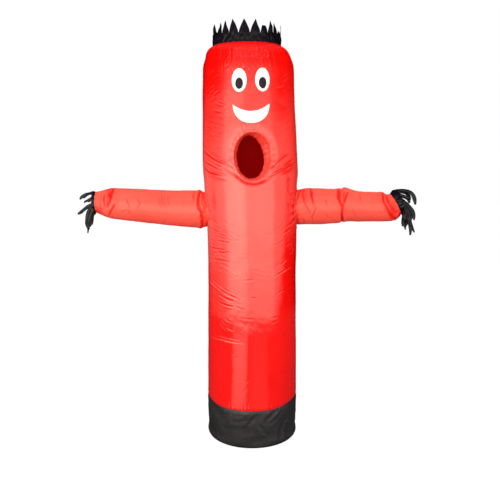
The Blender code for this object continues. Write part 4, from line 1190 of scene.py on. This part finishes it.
def makeSmile():
    bm = cutCloth(2.0, 1.0, 72, 14)
    flat = flatPlaces(bm)
    share = np.sin(math.pi / 2 * (flat[:, 0] - 1))
    angle = face["turn"] + face["smileAngle"] * share
    base = face["smileHeight"] + faceRise(angle)
    upper = base - face["upperSag"] * (1 - share**2)
    belly = np.sqrt(np.maximum(1 - np.abs(share) ** 2.2, 0))
    lower = base - face["corner"] - (face["lowerSag"] - face["corner"]) * belly
    height = lower + (upper - lower) * flat[:, 1]
    place(bm, tubePlaces(angle, height - tube["seam"], face["lift"]))
    uvLayer = bm.loops.layers.uv.verify()
    for item in bm.faces:
        for loop in item.loops:
            loop[uvLayer].uv = (loop.vert.co.x, loop.vert.co.z)
    material = clothMaterial("smilePatch", whiteCloth)
    return finishCloth("smilePatch", bm, material, ["smile"], thickness=face["thick"], merge=None)


facePieces = []
for word, side in (("left", -1), ("right", 1)):
    eyeAngle = face["turn"] + side * face["eyeAngle"]
    eyeHeight = face["eyeHeight"] + float(faceRise(eyeAngle))
    facePieces.append(makeOval(word + "EyePatch", eyeAngle, eyeHeight, face["eye"], face["lift"],
                               whiteCloth, [word + "_eye"]))
    facePieces.append(makeOval(word + "PupilPatch", eyeAngle, eyeHeight - face["pupilDrop"], face["pupil"],
                               face["lift"] + face["thick"] + 0.0003, pupilCloth, [word + "_pupil"]))
facePieces.append(makeSmile())


# sleeve lengths and face piece sizes, worked out but not used

sleeveSheets = ((leftSleeve, sleeves["left"], leftFringe), (rightSleeve, sleeves["right"], rightFringe))
for cloth, sleeve, fringe in sleeveSheets:
    sleeveLength = sleeve["sections"][-1][0] - sleeve["sections"][0][0]
for piece, half in zip(facePieces, (face["eye"], face["pupil"]) * 2):
    2 * half[0]
    2 * half[1]
    math.pi * half[0] * half[1]


# A curved paper wall lit from behind, all round at arm's length: it is what the gloss of the cloth mirrors
lightTent = {
    "radius": 2.0, "low": 0.205, "high": 3.6, "glow": 2.95,
    # share of the height, share of the glow
    "rise": ((0.050, 0.58), (0.135, 0.72), (0.20, 0.98), (0.30, 1.0), (0.36, 0.92), (0.44, 0.76), (0.51, 0.54),
             (0.545, 0.46), (0.575, 0.33), (0.605, 0.23), (0.66, 0.15), (0.80, 0.09), (1.0, 0.05)),
    "round": ((0.0, 0.26), (0.045, 0.20), (0.075, 0.05), (0.13, 0.14), (0.22, 0.29), (0.315, 0.50),
              (0.345, 0.87), (0.40, 0.98), (0.43, 1.0), (0.465, 0.88), (0.475, 0.65), (0.56, 0.675), (0.64, 0.645),
              (0.66, 0.39), (0.73, 0.30), (0.80, 0.15), (0.88, 0.03), (0.95, 0.04), (0.97, 0.20), (1.0, 0.26)),
    # right of this the wall starts higher and higher up
    "rightEdge": {"from": 0.66, "slant": 9.0, "most": 0.85, "soft": 0.4},
    "sideTop": {"from": 0.12, "soft": 0.10, "height": 2.0, "fade": 0.2, "least": 0.12},   # the sides end lower
}


def startPaper(name, mesh):   # an unseen glowing wall or sheet, with sockets for where a point of it is
    piece = bpy.data.objects.new(name, mesh)
    scene.collection.objects.link(piece)
    piece.visible_camera = False
    piece.visible_shadow = False
    material = bpy.data.materials.new(name)
    material.use_nodes = True
    material.node_tree.nodes.remove(material.node_tree.nodes["Principled BSDF"])
    mesh.materials.append(material)
    start = Wire(material.node_tree)
    spot = start.node("ShaderNodeSeparateXYZ", inputs={"Vector": start.node("ShaderNodeTexCoord", out=3)})
    return piece, start, [Wire(start.tree, out) for out in spot.socket.node.outputs]


def light(start, glow):
    paper = start.node("ShaderNodeEmission", inputs={"Color": (1.0, 0.97, 0.79, 1), "Strength": glow})
    start.tree.links.new(paper.socket, start.tree.nodes["Material Output"].inputs["Surface"])


tentMesh = bmesh.new()
rod = [tentMesh.verts.new((0, lightTent["radius"], lightTent[key])) for key in ("low", "high")]
rod.append(tentMesh.edges.new(rod))
bmesh.ops.spin(tentMesh, geom=rod, cent=(0, 0, 0), axis=(0, 0, 1), angle=2 * math.pi, steps=80, use_merge=True)
bmesh.ops.remove_doubles(tentMesh, verts=tentMesh.verts, dist=1e-4)
tentData = bpy.data.meshes.new("lightTent")
tentMesh.to_mesh(tentData)
tentMesh.free()
_, paper, (spotX, spotY, spotZ) = startPaper("lightTent", tentData)
around = paper.maths("ARCTAN2", spotX, spotY * -1.0) * (1 / (2 * math.pi)) + 0.5
rise = paper.node("ShaderNodeValToRGB", {"stops": lightTent["rise"]}, {"Fac": spotZ * (1 / lightTent["high"])})
round1 = paper.node("ShaderNodeValToRGB", {"stops": lightTent["round"]}, {"Fac": around})
steep = 1.0 + paper.maths("MAXIMUM", 0.36 - around, 0.0) * 12.0
edge = lightTent["rightEdge"]
starts = paper.maths("MINIMUM", paper.maths("MAXIMUM", around - edge["from"], 0.0) * edge["slant"], edge["most"])
above = paper.maths("MINIMUM", paper.maths("MAXIMUM", (spotZ - starts) * (1 / edge["soft"]) + 0.42, 0.0), 1.0)
top = lightTent["sideTop"]
aside = (paper.maths("ABSOLUTE", around - 0.5) - top["from"]) * (1 / top["soft"])
aside = paper.maths("MINIMUM", paper.maths("MAXIMUM", aside, 0.0), 1.0)
below = paper.maths("MAXIMUM", (top["height"] - spotZ) * (1 / top["fade"]), top["least"])
below = paper.maths("MINIMUM", below, 1.0)
glow = paper.maths("POWER", rise, steep) * round1 * above * (1.0 - aside * (1.0 - below))
light(paper, glow * lightTent["glow"])

# lit sheets on the floor: a bright one at the left, for the strip of light that runs down to the hem, and a dim
# one in front
floorSheets = (
    {"corners": ((-0.370, -0.345), (-0.080, -0.512), (-2.080, -1.390), (-0.480, -2.470)),
     "near": 0.56, "far": 1.12,
     "middle": math.radians(-30), "half": math.radians(21)},
    {"corners": ((-0.090, -0.515), (0.300, -0.410), (-0.480, -2.380), (1.700, -1.700)),
     "near": 0.19, "far": 0.14,
     "middle": math.radians(16), "half": math.radians(27)},
)
for number, sheet in enumerate(floorSheets):
    sheetMesh = bmesh.new()
    bmesh.ops.create_grid(sheetMesh, x_segments=1, y_segments=1, size=1.0)
    for vert in sheetMesh.verts:
        x, y = sheet["corners"][(vert.co.x > 0) + 2 * (vert.co.y > 0)]
        vert.co = (x, y, 0.002)
    sheetData = bpy.data.meshes.new(f"floorSheet{number}")
    sheetMesh.to_mesh(sheetData)
    sheetMesh.free()
    piece, glowing, (spotX, spotY, spotZ) = startPaper(f"floorSheet{number}", sheetData)
    piece.visible_diffuse = False
    far = (spotX * spotX + spotY * spotY) ** 0.5
    aside = (glowing.maths("ARCTAN2", spotX, spotY * -1.0) - sheet["middle"]) * (1 / sheet["half"])
    fade = glowing.maths("MAXIMUM", 1.0 - aside * aside * aside * aside, 0.0)
    light(glowing, ((far - 0.5) * ((sheet["far"] - sheet["near"]) / 2.0) + sheet["near"]) * fade)


# floor and background

floorSize = {"half": 14.0, "height": 0.0}
floorMesh = bmesh.new()
bmesh.ops.create_grid(floorMesh, x_segments=2, y_segments=2, size=floorSize["half"])
floorData = bpy.data.meshes.new("floor")
floorMesh.to_mesh(floorData)
floorMesh.free()
floor = bpy.data.objects.new("floor", floorData)
scene.collection.objects.link(floor)
floorMaterial, floorShader, floorStart = startMaterial("paleFloor")
floorShader.inputs["Base Color"].default_value = (0.03, 0.03, 0.03, 1)
floorShader.inputs["Roughness"].default_value = 0.9
floorShader.inputs["Specular IOR Level"].default_value = 0.0
floorShader.inputs["Emission Color"].default_value = (1, 1, 1, 1)
floorSeen = floorStart.node("ShaderNodeLightPath")
floorSoft = Wire(floorStart.tree, floorSeen.socket.node.outputs["Is Diffuse Ray"])
# white to the eye, with a soft bounce from below
plug(floorSeen + floorSoft * 0.45, floorShader, "Emission Strength")
floorData.materials.append(floorMaterial)

world = bpy.data.worlds.new("studio")
world.use_nodes = True
scene.world = world
sky = Wire(world.node_tree)
backdrop = world.node_tree.nodes["Background"]
seen = sky.node("ShaderNodeLightPath", out=0)
soft = Wire(sky.tree, seen.socket.node.outputs["Is Diffuse Ray"])
backdrop.inputs["Color"].default_value = (1, 1, 1, 1)
world.node_tree.links.new((seen * 0.93 + soft * 0.55 + 0.07).socket, backdrop.inputs["Strength"])
